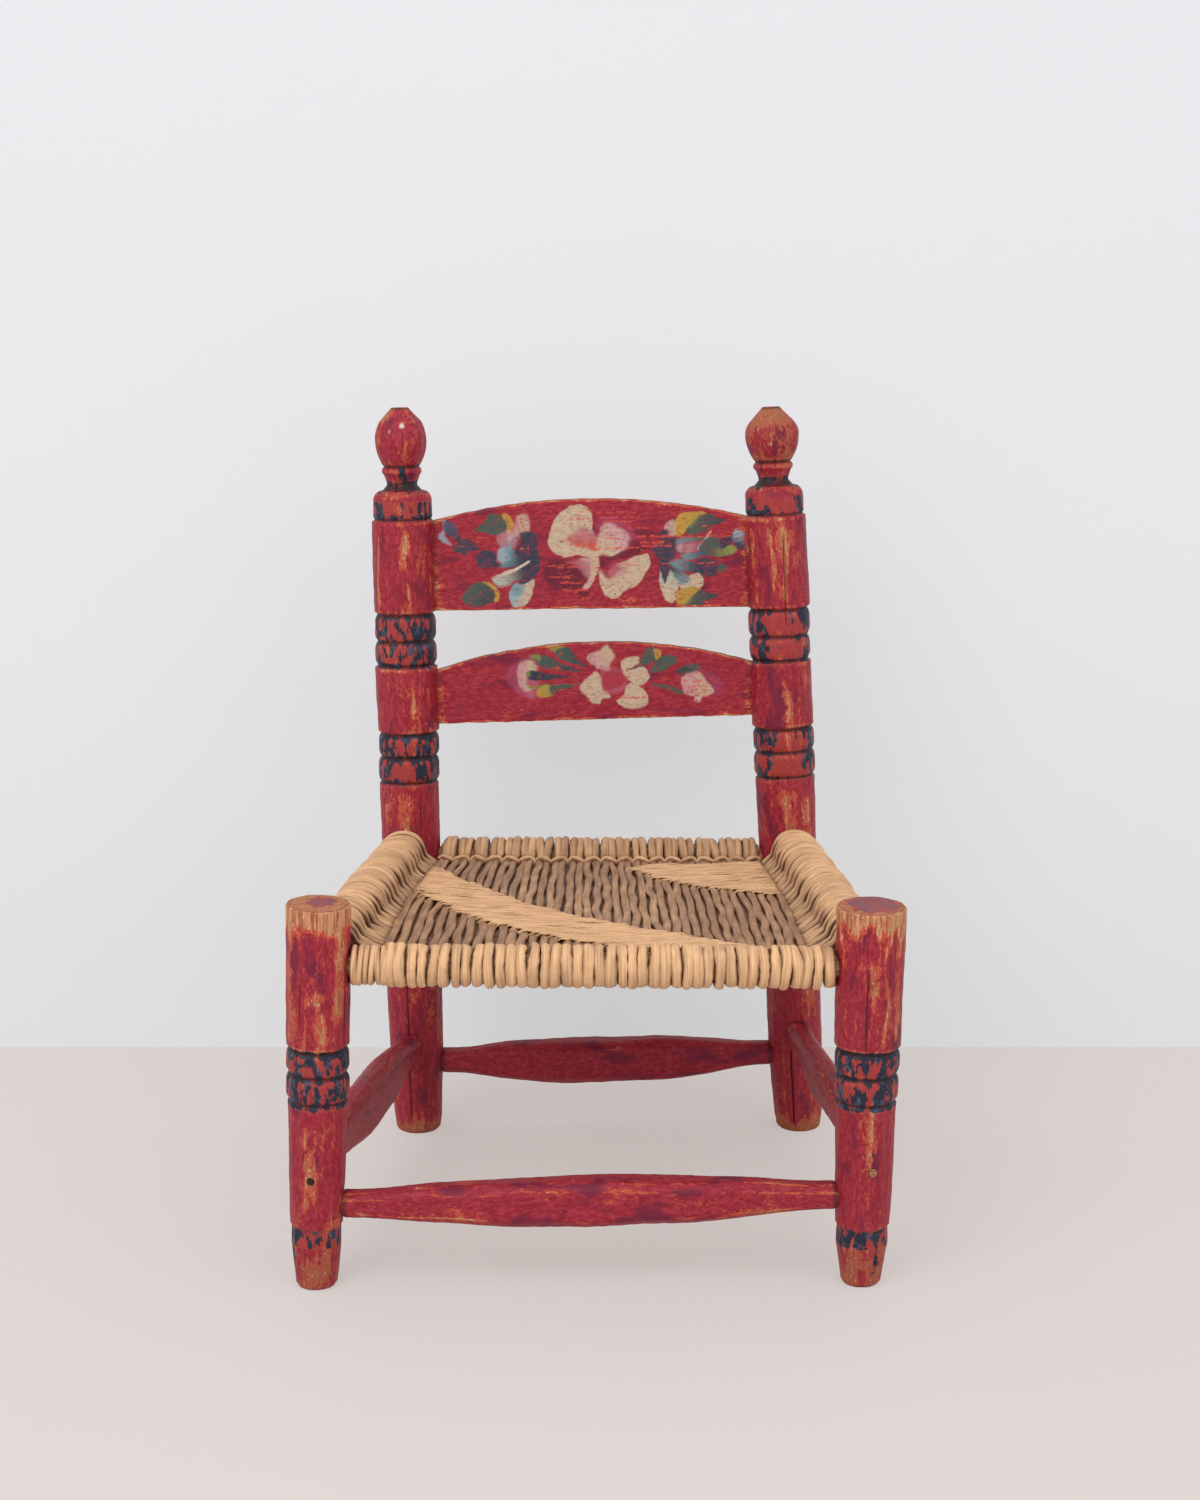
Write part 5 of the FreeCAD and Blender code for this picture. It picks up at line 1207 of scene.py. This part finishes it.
frontStart, frontEnd = seatRail("frontRail", "front_left", "front_right")
backStart, backEnd = seatRail("backRail", "back_left", "back_right")
acrossFront, acrossBack = unit(frontEnd - frontStart), unit(backEnd - backStart)
frontLine = (frontStart + acrossFront * seat["frontLeft"], frontEnd - acrossFront * seat["frontRight"])
backLine = (backStart + acrossBack * seat["backMargin"], backEnd - acrossBack * seat["backMargin"])
seatWide, seatDeep = np.linalg.norm(frontLine[1] - frontLine[0]), np.linalg.norm(backLine[0] - frontLine[0])
acrossSeat, intoSeat = unit(acrossFront + acrossBack), unit(backLine[0] - frontLine[0])


def onLine(line, share):
    return line[0] + (line[1] - line[0]) * np.asarray(share)[..., None]


def spanOf(start, end):
    # the directions along and above each span, and its length
    along = unit(end - start)
    above = unit(np.array([0, 0, 1.0]) - along * along[..., 2:])
    return along, above, np.linalg.norm(end - start, axis=-1)[..., None]


def spread(count, seed, low, high):
    # a steady random value for each strand
    return np.random.default_rng(seed).uniform(low, high, count)[:, None]


def wander(run, seed, count, lengths, waves=4):
    # a slow wave along each strand, with its own phases
    random = np.random.default_rng(seed)
    total = 0
    for _ in range(waves):
        length = random.uniform(*lengths, (count, 1))
        total = total + np.sin(turn * run / length + random.uniform(0, turn, (count, 1)))
    return total / math.sqrt(waves)


def averaged(values, closed):
    # twice, each point with its neighbours; the ends of an open path stay
    for _ in range(2):
        mean = (np.roll(values, 1, 1) + 2 * values + np.roll(values, -1, 1)) / 4
        if not closed:
            mean[:, [0, -1]] = values[:, [0, -1]]
        values = mean
    return values


def drawnAt(share, depth):
    # the sideways shift of the woven panel at a share of its width and of its depth
    drawn = seat["drawn"]
    left, right = (np.interp(depth, drawn["depths"], drawn[side]) for side in ("left", "right"))
    nearLeft, nearRight = (np.clip(1 - way / drawn["reach"], 0, 1) for way in (share, 1 - share))
    return left * nearLeft + right * nearRight


def sagOf(share, depth):
    # how far the seat has sunk at a share of its width and of its depth
    across, into = (np.sin(math.pi * np.clip(part, 0, 1)) for part in (share, depth))
    return seat["sag"] * across ** seat["sagPowers"][0] * into ** seat["sagPowers"][1]


def seatPoint(across, depth, lift):
    # a point of the sagged seat by its shares of width and depth, and its height above the middle
    front, back = onLine(frontLine, across), onLine(backLine, across)
    point = front + (back - front) * np.asarray(depth)[..., None]
    point[..., 2] += lift - sagOf(across, depth)
    return point + acrossSeat * drawnAt(across, np.asarray(depth))[..., None]


def strands(name, path, side, look, replaced, darker=0.0):
    # sections along each path: an ellipse across the side's direction, with two lobes that turn
    # along the strand. path is strands x rows x 3, and a value of the look is one for all or a grid
    count, rows, columns = *path.shape[:2], look["columns"]
    closed, before = look.get("closed", False), np.roll(path, 1, 1)
    if not closed:
        before[:, 0] = path[:, 0]
    ahead = unit(np.roll(path, -1, 1) - before if closed else np.gradient(path, axis=1))
    run = np.cumsum(np.linalg.norm(path - before, axis=-1), 1)[..., None]
    normal = unit(np.cross(ahead, side))
    wide = np.cross(normal, ahead)
    look = {"twist": 0.0, "lobe": 0.0, "ply": 0.0, "grainWidth": look["width"], **look}
    width, thick, twist, lobe, tone, ply, grainWidth = (
        np.broadcast_to(look[key], (count, rows))[..., None]
        for key in ("width", "thick", "twist", "lobe", "tone", "ply", "grainWidth"))
    # cosine runs across the strand and sine through it
    phi = np.linspace(0, turn, columns, endpoint=False)
    swell = 1 + lobe * np.cos(2 * phi + twist)
    u, v = width * np.cos(phi) * swell, thick * np.sin(phi) * swell
    points = path[:, :, None] + wide[:, :, None] * u[..., None] + normal[:, :, None] * v[..., None]
    faces = [repeatFaces(gridFaces(rows, columns, closed), count, rows * columns)]
    if not closed:
        faces.append(repeatFaces(capFaces(rows, columns), count, rows * columns))
    random = np.random.default_rng(look["seed"])
    shift = random.uniform(0, 9, count)[:, None, None]
    fibre = np.stack(np.broadcast_arrays(
        run * mm, np.cos(phi) * grainWidth * mm + shift, np.sin(phi) * 2 * mm + shift * 0.7), -1)
    # painted shade where strands meet at their sides, and in the groove between two plies
    crevice = np.abs(np.cos(phi)) ** 8 * 0.9 + (0.5 - 0.5 * np.cos(2 * phi + twist)) ** 5 * ply
    crevice = crevice + (darker(phi) if callable(darker) else darker)
    tones = tone + random.normal(0, 0.12, count)[:, None, None] + 0 * phi
    marks = {"fibre": fibre.reshape(-1, 3), "tone": tones.ravel(),
             "crevice": np.clip(crevice, 0, 1).ravel()}
    makePiece(name, points.reshape(-1, 3), faces, marks, palm, replaced)


warp = {
    "radius": 10.8, "uneven": 0.5, "lift": 1.75, "rollThick": 2.35, "panelThick": 1.75, "arcPoints": 42,
    "straightPoints": 36, "columns": 14, "shift": 0.08, "wander": 0.8, "wave": 0.35, "gather": 0.17,
    "slants": ((-0.04, 0.07), (-0.05, 0.05)), "width": 1.05, "panelNarrower": 0.1, "widths": (0.92, 1.08),
    "twists": (26, 60), "sameWay": 0.8, "lobe": 0.16, "ply": 0.12, "panelPly": 0.2, "seed": 21,
    # distances from the front rail's axis and before the back rail's: where the flat panel
    # starts, where pairs gather at the twined cord and part again, and where the tone changes
    "panelFrom": (8, 22), "panelTo": (12, 26), "gatherFrom": (44, 26), "partFrom": (18, 4),
    "parted": 0.75, "paleFrom": (6, 15), "paleBack": (0.4, (24, 12)), "paleUnder": (0.35, (0.0, 2.0)),
    "wanders": ((35, 120), (18, 60), (30, 90), (12, 40)), "rollWander": 0.3, "swell": 0.07,
    "panelLobe": 0.45, "tone": (0.9, 0.08),
}


def warpStrands():
    # closed loops round both rails: an arc of the roll's radius round each rail, joined by
    # straight runs above and below the seat's middle, the corners rounded by averaging
    count = seat["strands"]
    share = (np.arange(count) + 0.5 + spread(count, 4, -warp["shift"], warp["shift"])[:, 0]) / count
    front = onLine(frontLine, share)
    out, above, length = spanOf(front, onLine(backLine, share))
    radius = warp["radius"] + spread(count, 5, -warp["uneven"], warp["uneven"])
    rise = warp["lift"] + 0 * length
    begin = np.arcsin(rise / radius)
    angle = begin + (turn - 2 * begin) * np.linspace(0, 1, warp["arcPoints"])
    inner = radius * np.cos(begin)
    u = 0.5 - 0.5 * np.cos(math.pi * np.linspace(0, 1, warp["straightPoints"] + 2)[1:-1])
    under = inner + (length - 2 * inner) * u
    ahead, upward = radius * np.cos(angle), radius * np.sin(angle)
    s = averaged(np.concatenate([ahead, under, length - ahead, under[:, ::-1]], 1), True)
    z = averaged(np.concatenate([upward, -rise + 0 * under, -upward, rise + 0 * under], 1), True)
    onPanel = ease(s, *warp["panelFrom"]) * ease(length - s, *warp["panelTo"])
    pair = np.where(np.arange(count) % 2 == 0, 1, -1)[:, None]
    backWide = np.linalg.norm(backLine[1] - backLine[0])
    pitch = (seatWide + (backWide - seatWide) * np.clip(s / length, 0, 1)) / count
    # drawn together in pairs where the twined cord holds them
    gathered = ease(s, *(length - part for part in warp["gatherFrom"]))
    parted = ease(s, *(length - part for part in warp["partFrom"]))
    gathered = gathered * (1 - warp["parted"] * parted)
    onSeat, onRoll, inHeight, inWidth = warp["wanders"]
    aside = wander(s, 7, count, onSeat) * warp["wander"] * onPanel
    aside = aside + pair * warp["gather"] * pitch * gathered + drawnAt(share[:, None], s / length)
    slant = [spread(count, seed, *reach) for seed, reach in zip((6, 16), warp["slants"])]
    slant = slant[0] * (s < length / 2) + slant[1] * (s > length / 2)
    rolled = wander(z, 8, count, onRoll) * warp["rollWander"] + slant * z
    aside = aside + rolled * (1 - onPanel)
    waved = wander(s, 9, count, inHeight) * warp["wave"] - sagOf(share[:, None], s / length)
    z = z + waved * onPanel
    side = unit(acrossSeat - out * (out @ acrossSeat)[:, None])
    path = front[:, None] + out[:, None] * s[..., None] + above[:, None] * z[..., None]
    path = path + side[:, None] * aside[..., None]
    width = pitch / 2 * (warp["width"] - warp["panelNarrower"] * onPanel)
    width = width * spread(count, 11, *warp["widths"])
    # one turn of the lobes, in millimetres; its sign is the way that a strand is twisted
    way = np.where(np.random.default_rng(17).random(count) < warp["sameWay"], 1, -1)[:, None]
    (back, backFrom), (under, underFrom) = warp["paleBack"], warp["paleUnder"]
    tone = 1 - ease(s, *warp["paleFrom"]) + back * ease(s, *(length - part for part in backFrom))
    tone = np.clip(tone + under * ease(-z, *underFrom), 0, 1) * warp["tone"][0] + warp["tone"][1]
    strands("woven_warp", path, side[:, None], {
        "width": width * (1 + warp["swell"] * wander(s + 3 * z, 12, count, inWidth)),
        "thick": warp["rollThick"] + (warp["panelThick"] - warp["rollThick"]) * onPanel,
        "twist": way * turn * (s + 0.8 * z) / spread(count, 13, *warp["twists"]) + spread(count, 14, 0, 6),
        "lobe": warp["lobe"] * (1 - warp["panelLobe"] * onPanel), "tone": tone,
        "ply": warp["ply"] + warp["panelPly"] * onPanel, "columns": warp["columns"], "seed": warp["seed"],
        "closed": True}, ["seat_warp"])


turns = {"points": 56, "columns": 12, "thick": 1.6, "width": 0.54, "lobe": 0.1, "tone": 0.95, "ply": 0.35,
         "uneven": (-0.4, 0.3), "drift": 0.25}


def roundTurns(name, start, end, count, radius, seed, replaced):
    # single turns round the front rail, side by side: circles whose radius and lean vary a little
    along, above, length = spanOf(start, end)
    forward = np.cross(above, along)
    middle = onLine((start, end), (np.arange(count) + 0.5) / count)
    angle = np.linspace(0, turn, turns["points"], endpoint=False)[None] + spread(count, seed, 0, 6)
    reach = radius + spread(count, seed + 1, *turns["uneven"])
    reach = reach + 0.25 * np.sin(angle * 2 + spread(count, seed + 2, 0, 6))
    pitch = length[0] / count
    drift = np.sin(angle) * spread(count, seed + 3, -turns["drift"], turns["drift"]) * pitch
    path = middle[:, None] + forward * (np.cos(angle) * reach)[..., None]
    path = path + above * (np.sin(angle) * reach)[..., None] + along * drift[..., None]
    twist = 2 * np.sin(angle) + spread(count, seed + 4, 0, 6)
    strands(name, path, along, {
        **turns, "width": pitch * turns["width"], "grainWidth": pitch / 2, "twist": twist, "seed": seed,
        "closed": True}, [replaced])


webs = {
    "strands": 46, "frontRadius": 15.4, "backRadius": 14.4, "uneven": (-0.9, 0.7),
    "shares": (0.065, 0.93), "end": 5.0, "shift": 0.004, "pairShift": 0.002, "rise": 4.6, "tuck": -5.0,
    "flatRise": 0.3, "arcPoints": 40, "webPoints": 17, "wander": 0.9, "pinch": 0.17,
    "pinches": (3.0, 6.0), "width": 0.94, "rollWider": 0.2, "pinchNarrower": 0.16, "widths": (0.85, 1.15),
    "thick": 1.8, "lobe": 0.14, "ply": 0.4, "columns": 12, "rollFrom": (16, 4), "climb": 1.2,
    "swell": 0.07, "swells": (10, 26), "wanders": (40, 110), "tones": (0.6, 0.2, 0.25), "toneFade": (-6, 2),
    # painted shade where tucked in, less of it on the roll, and where a pair is drawn together
    "tuckDark": 0.5, "tuckFade": (-3, 1), "rollLight": 0.35, "pinchDark": 0.95,
}


def sideStrands(name, number, first, last, key, replaced):
    # open loops: from between the warp's layers, a gentle rise to the side rail's roll, round
    # it and back; where web and roll meet the strands are drawn together in pairs
    count = webs["strands"]
    start, end = seatRail(key, first, last)
    along, _, whole = spanOf(start, end)
    share = (np.arange(count) + 0.5) / count
    inset = webs["end"] / whole[0]
    rail = onLine((start, end), inset + (1 - 2 * inset) * share)
    pair = np.where(np.arange(count) % 2 == 0, 1, -1)
    low, high = webs["shares"]
    web = low + (high - low) * share + np.random.default_rng(30 + number).normal(0, webs["shift"], count)
    web = web + pair * webs["pairShift"]
    edge = onLine((frontLine[number], backLine[number]), web)
    edge = edge + acrossSeat * drawnAt(np.full(count, float(number)), web)[:, None]
    out, above, length = spanOf(edge, rail)
    radius = webs["frontRadius"] + (webs["backRadius"] - webs["frontRadius"]) * share[:, None]
    radius = radius + spread(count, 31 + number, *webs["uneven"])
    rise, tuck, level = webs["rise"], webs["tuck"], webs["flatRise"]
    begin = np.arcsin(rise / radius)
    angle = math.pi - begin - (turn - 2 * begin) * np.linspace(0, 1, webs["arcPoints"])
    inner = length - radius * np.cos(begin)
    going = tuck + (inner - tuck) * np.linspace(0, 1, webs["webPoints"])[None, :-1]
    climb = level + (rise - level) * np.clip(going / inner, 0, 1) ** webs["climb"]
    s = averaged(np.concatenate([going, length + radius * np.cos(angle), going[:, ::-1]], 1), False)
    z = averaged(np.concatenate([climb, radius * np.sin(angle), -climb[:, ::-1]], 1), False)
    onRoll = ease(s, *(length - part for part in webs["rollFrom"]))
    pitch = whole[0] / count
    pinch = np.exp(-((s - inner - 1) / spread(count, 41, *webs["pinches"])) ** 2)
    aside = wander(s + z, 33 + number, count, webs["wanders"]) * webs["wander"]
    aside = aside + pair[:, None] * webs["pinch"] * pitch * pinch
    path = edge[:, None] + out[:, None] * s[..., None] + above[:, None] * z[..., None]
    path = path + along * aside[..., None]
    width = pitch / 2 * (webs["width"] + webs["rollWider"] * onRoll - webs["pinchNarrower"] * pinch)
    swell = 1 + webs["swell"] * wander(s, 36, count, webs["swells"])
    width = width * spread(count, 35, *webs["widths"]) * swell

    def darker(phi):
        # painted shade: where a strand is tucked in, less on the roll, and on each strand of a drawn pair
        # on its side towards the next pair
        away = 0.5 - 0.5 * np.cos(phi) * pair[:, None, None]
        alone = webs["tuckDark"] * ease(-s, *webs["tuckFade"]) - webs["rollLight"] * onRoll
        return alone[..., None] + webs["pinchDark"] * pinch[..., None] * away ** 3

    # the tone is duller where a strand is tucked in, painted shade as well
    plain, gain, loss = webs["tones"]
    strands(name, path, along, {
        **webs, "width": width, "twist": (s + z) / 4 + spread(count, 37, 0, 6), "seed": 38 + number,
        "tone": plain + gain * onRoll - loss * ease(-s, *webs["toneFade"])}, [replaced], darker)


bands = {
    # floats of the cross strands: where each depth's float starts and ends across the seat
    "front_weft_band": {"pitch": 2.3, "side": 1, "depths": (0.11, 0.17, 0.27, 0.4, 0.51, 0.6, 0.86),
                        "starts": (0.54, 0.4, 0.28, 0.15, 0.07, 0.0, 0.0), "slope": 0.10,
                        "ends": (0.95, 0.83, 0.68, 0.48, 0.34, 0.25, 0.0), "seed": 51},
    "back_weft_band": {"pitch": 2.3, "side": 1, "depths": (0.59, 0.67, 0.73, 0.84, 0.88),
                       "starts": (0.95, 0.78, 0.69, 0.58, 0.62), "slope": -0.05,
                       "ends": (1.0, 1.0, 1.0, 1.0, 1.0), "seed": 53},
    "under_weft_band": {"pitch": 3.1, "side": -1, "depths": (0.0, 0.25, 0.5, 0.6, 0.85),
                        "starts": (0.0, 0.0, 0.0, 0.29, 1.0), "slope": 0.0,
                        "ends": (0.0, 0.0, 0.72, 1.0, 1.0), "seed": 55},
}
straws = {
    "rows": 48, "columns": 8, "thick": 0.7, "width": 0.6, "widths": (0.7, 1.25), "lobe": 0.1, "lift": 4.0,
    "bump": 0.22, "wave": 0.3, "dive": 3.2, "diveLength": 4.5, "taper": 8, "sway": 0.5, "shortest": 0.03,
    "startShift": (-0.02, 0.012), "endShift": (-0.012, 0.012), "atSide": 0.01, "tip": 0.4,
    "waves": (25, 80), "sways": (60, 160), "tone": 0.96, "toneWave": 0.2, "toneWaves": (30, 90),
    "paler": 0.3,
}


def weftBand(name):
    # flat straws side by side; each lies on the warp between its float's ends and dives there
    spec = bands[name]
    seed = spec["seed"]
    depth = np.arange(spec["depths"][0], spec["depths"][-1], spec["pitch"] / seatDeep)
    begin, end = (np.interp(depth, spec["depths"], spec[key]) for key in ("starts", "ends"))
    keep = end - begin > straws["shortest"]
    depth, begin, end = depth[keep][:, None], begin[keep], end[keep]
    count = len(depth)
    random = np.random.default_rng(seed)
    # ends at the seat's sides stay there
    inside = begin > straws["atSide"], end < 1 - straws["atSide"]
    begin = (begin + random.uniform(*straws["startShift"], count) * inside[0])[:, None]
    end = (end + random.uniform(*straws["endShift"], count) * inside[1])[:, None]
    across = begin + (end - begin) * np.linspace(0, 1, straws["rows"])[None]
    place = across * seatWide
    fromEnd = np.minimum(across - begin, end - across) * seatWide
    bumps = straws["bump"] * np.cos(turn * across * seat["strands"])
    lift = straws["lift"] + bumps + straws["wave"] * wander(place, seed + 1, count, straws["waves"])
    lift = (lift - straws["dive"] * (1 - ease(fromEnd, 0.0, straws["diveLength"]))) * spec["side"]
    slanted = depth - spec["slope"] * (across - (begin + end) / 2)
    swayed = wander(place, seed + 2, count, straws["sways"]) * straws["sway"] / seatDeep
    width = spec["pitch"] * straws["width"] * spread(count, seed + 3, *straws["widths"])
    width = width * (straws["tip"] + (1 - straws["tip"]) * ease(fromEnd, 0, straws["taper"]))
    tone = straws["tone"] + straws["toneWave"] * wander(place, seed + 4, count, straws["toneWaves"])
    strands(name + "_straws", seatPoint(across, slanted + swayed, lift), intoSeat, {
        **straws, "width": width, "tone": tone, "seed": seed + 5}, [name], -straws["paler"])


# the hidden strands' low tone and darkening are painted shade
hidden = {"strands": 46, "rows": 40, "depths": (0.04, 0.96), "width": 2.7, "grainWidth": 2.5, "thick": 0.35,
          "tone": 0.1, "columns": 6, "seed": 71}
cord = {"ends": (0.004, 0.996), "rowsPerPair": 10, "bow": 0.006, "lift": 4.8, "flatness": 0.4, "width": 2.3,
        "grainWidth": 2.0, "thick": 1.7, "lobe": 0.1, "tone": 0.75, "columns": 10, "seed": 75}


def hiddenWeft():
    # the same cross strands where they lie between the warp's two layers, coloured dark as painted shade in
    # the gaps between the warp strands
    low, high = hidden["depths"]
    depth = (low + (high - low) * (np.arange(hidden["strands"]) + 0.5) / hidden["strands"])[:, None]
    across = np.linspace(0.0, 1.0, hidden["rows"])[None] + 0 * depth
    strands("hidden_weft", seatPoint(across, depth + 0 * across, 0 * across), intoSeat, hidden, [], 0.55)


def twining():
    # two cords that swap sides between each pair of warp strands: height = a cosine whose
    # half wave is one pair wide
    pairs = seat["strands"] // 2
    way = np.array([[1.0], [-1.0]])
    share = np.linspace(*cord["ends"], pairs * cord["rowsPerPair"])[None] + 0 * way
    swing = np.cos(math.pi * (share * pairs - 0.5)) * way
    place = 1 - seat["twiningSetback"] / seatDeep + cord["bow"] * np.sin(turn * share * pairs) * way
    lift = np.sign(swing) * np.abs(swing) ** cord["flatness"] * cord["lift"]
    strands("twined_cord", seatPoint(share, place, lift), intoSeat, cord, ["back_twining"])


warpStrands()
roundTurns("front_left_turns", frontStart + acrossFront * seat["reveal"],
           frontLine[0] - acrossFront * seat["turnsGap"], 6, 10.3, 81, "front_left_corner_wrap")
roundTurns("front_right_turns", frontLine[1] + acrossFront * seat["turnsGap"],
           frontEnd - acrossFront * seat["reveal"], 1, 10.6, 85, "front_right_corner_wrap")
sideStrands("left_side_strands", 0, "front_left", "back_left", "leftRail", "left_side_weft")
sideStrands("right_side_strands", 1, "front_right", "back_right", "rightRail", "right_side_weft")
for name in bands:
    weftBand(name)
hiddenWeft()
twining()
print("seat woven")


# Pieces that keep the frame's own shape

def bareWoodGroup():
    # dry wood: grain lines stretched along x or z by the object's own coordinates
    tree, given, made = newGroup("bareGrain", (("Grain", "Vector"), ("Dark", "Color"), ("Light", "Color")),
                                 (("Color", "Color"), ("Roughness", "Float"), ("Height", "Float")))
    lines = noiseOf(tree, given["Grain"], (0.1, 1, 1), 420.0, 4, 0.6)
    colour = blendColours(tree, between(tree, lines, 0.35, 0.65), given["Dark"], given["Light"])
    tree.links.new(colour, made["Color"])
    tree.links.new(between(tree, lines, 0.3, 0.7, 0.8, 0.6), made["Roughness"])
    tree.links.new(lines, made["Height"])
    return tree


bareGrain = bareWoodGroup()


def bareWood(name, dark, light):
    material = finishMaterial(name, bareGrain, {"Dark": paint(*dark), "Light": paint(*light)}, 0.0003)
    tree = material.node_tree
    look = [node for node in tree.nodes if node.type == "GROUP"][0]
    place = addNode(tree, "ShaderNodeTexCoord")
    tree.links.new(place.outputs["Object"], look.inputs["Grain"])
    return material


railWood = bareWood("railWood", (122, 78, 50), (186, 138, 94))
# near-black on the plug at the bottom of the open hole in the front-left post: painted shade
holeShadeWood = bareWood("holeShadeWood", (26, 15, 13), (58, 34, 28))
for name in ("front_rail", "back_rail", "left_rail", "right_rail", "front_left_plug", "front_right_plug"):
    node = nodes[name]
    node.data.materials.clear()
    node.data.materials.append(holeShadeWood if name == "front_left_plug" else railWood)
print("rails and plugs dressed")


# Floor, wall, lights and camera

studio = {
    "floor": (221, 214, 211), "wall": (231, 232, 235), "wallY": 0.266, "reach": 4.0,
    "key": {"place": (-1.1, -1.7, 1.75), "aim": (0, 0, 0.2), "size": 1.6, "power": 22.0},
    "fill": {"place": (1.5, -1.5, 1.3), "aim": (0, 0, 0.2), "size": 1.8, "power": 8.0},
    "top": {"place": (0.0, -0.4, 2.2), "aim": (0, 0, 0), "size": 2.2, "power": 9.0},
    "world": (0.95, 0.97, 1.0), "worldStrength": 0.7,
    # the camera's share of floor and wall; the wall's lower colour is darker, painted shade
    "shown": 0.6, "shownFloor": (221, 213, 209), "shownWall": (233, 234, 236), "shownLow": (225, 227, 226),
    "cloudStretch": (1, 6, 1), "cloudScale": 2.0, "clouded": 0.97, "roughness": 0.7, "specular": 0.2,
    "paleHeight": 0.42,
}


def flatStage(name, corners, colour, shownLow, shownHigh):
    # lit and shadowed like any surface; the camera, glass and metal see part of it as a plain
    # colour, which keeps its shadows light, and from its back it is clear
    mesh = bpy.data.meshes.new(name)
    mesh.from_pydata(corners, [], [(0, 1, 2, 3)])
    panel = bpy.data.objects.new(name, mesh)
    bpy.context.scene.collection.objects.link(panel)
    material = bpy.data.materials.new(name)
    material.use_nodes = True
    tree = material.node_tree
    surface = tree.nodes["Principled BSDF"]
    place = addNode(tree, "ShaderNodeTexCoord").outputs["Object"]
    cloud = noiseOf(tree, place, studio["cloudStretch"], studio["cloudScale"], 3)
    darker = tuple(part * studio["clouded"] for part in paint(*colour)[:3]) + (1.0,)
    mixed = blendColours(tree, cloud, darker, paint(*colour))
    tree.links.new(mixed, surface.inputs["Base Color"])
    surface.inputs["Roughness"].default_value = studio["roughness"]
    surface.inputs["Specular IOR Level"].default_value = studio["specular"]
    # the plain colour is darker towards the foot of the wall: painted shade
    height = addNode(tree, "ShaderNodeSeparateXYZ", {0: place}).outputs[2]
    rising = between(tree, height, 0.0, studio["paleHeight"])
    shade = blendColours(tree, rising, paint(*shownLow), paint(*shownHigh))
    plain = addNode(tree, "ShaderNodeEmission", {"Color": shade})
    rays = addNode(tree, "ShaderNodeLightPath").outputs
    seen = calc(tree, "MAXIMUM", rays["Is Camera Ray"], rays["Is Glossy Ray"])
    seen = calc(tree, "MAXIMUM", seen, rays["Is Transmission Ray"])
    share = times(tree, seen, studio["shown"])
    mixed = addNode(tree, "ShaderNodeMixShader", {0: share, 1: surface.outputs[0], 2: plain.outputs[0]})
    behind = addNode(tree, "ShaderNodeNewGeometry").outputs["Backfacing"]
    clear = addNode(tree, "ShaderNodeBsdfTransparent").outputs[0]
    shown = addNode(tree, "ShaderNodeMixShader", {0: behind, 1: mixed.outputs[0], 2: clear})
    tree.links.new(shown.outputs[0], tree.nodes["Material Output"].inputs["Surface"])
    mesh.materials.append(material)


def softLight(name, spec):
    lamp = bpy.data.lights.new(name, "AREA")
    lamp.energy = spec["power"]
    lamp.shape = "SQUARE"
    lamp.size = spec["size"]
    holder = bpy.data.objects.new(name, lamp)
    bpy.context.scene.collection.objects.link(holder)
    aim = Vector(spec["aim"]) - Vector(spec["place"])
    holder.location = spec["place"]
    holder.rotation_euler = aim.to_track_quat("-Z", "Y").to_euler()


reach, wallY = studio["reach"], studio["wallY"]
flatStage("floor", [(-reach, -reach, 0), (reach, -reach, 0), (reach, reach, 0), (-reach, reach, 0)],
          studio["floor"], studio["shownFloor"], studio["shownFloor"])
flatStage("wall", [(-reach, wallY, 0), (reach, wallY, 0), (reach, wallY, 3), (-reach, wallY, 3)],
          studio["wall"], studio["shownLow"], studio["shownWall"])
for name in ("key", "fill", "top"):
    softLight(name, studio[name])
world = bpy.data.worlds.new("studio")
bpy.context.scene.world = world
world.use_nodes = True
sky = world.node_tree.nodes["Background"]
sky.inputs["Color"].default_value = (*studio["world"], 1)
sky.inputs["Strength"].default_value = studio["worldStrength"]

lens = bpy.data.cameras.new("photoCamera")
lens.lens = cameraView["lens"]
lens.sensor_width = cameraView["sensor"]
viewer = bpy.data.objects.new("photoCamera", lens)
bpy.context.scene.collection.objects.link(viewer)
viewer.location = cameraView["place"]
viewer.rotation_euler = (math.radians(90 - cameraView["pitchDown"]), 0, 0)
bpy.context.scene.camera = viewer
bpy.context.scene.view_settings.view_transform = "Standard"
print("studio ready")
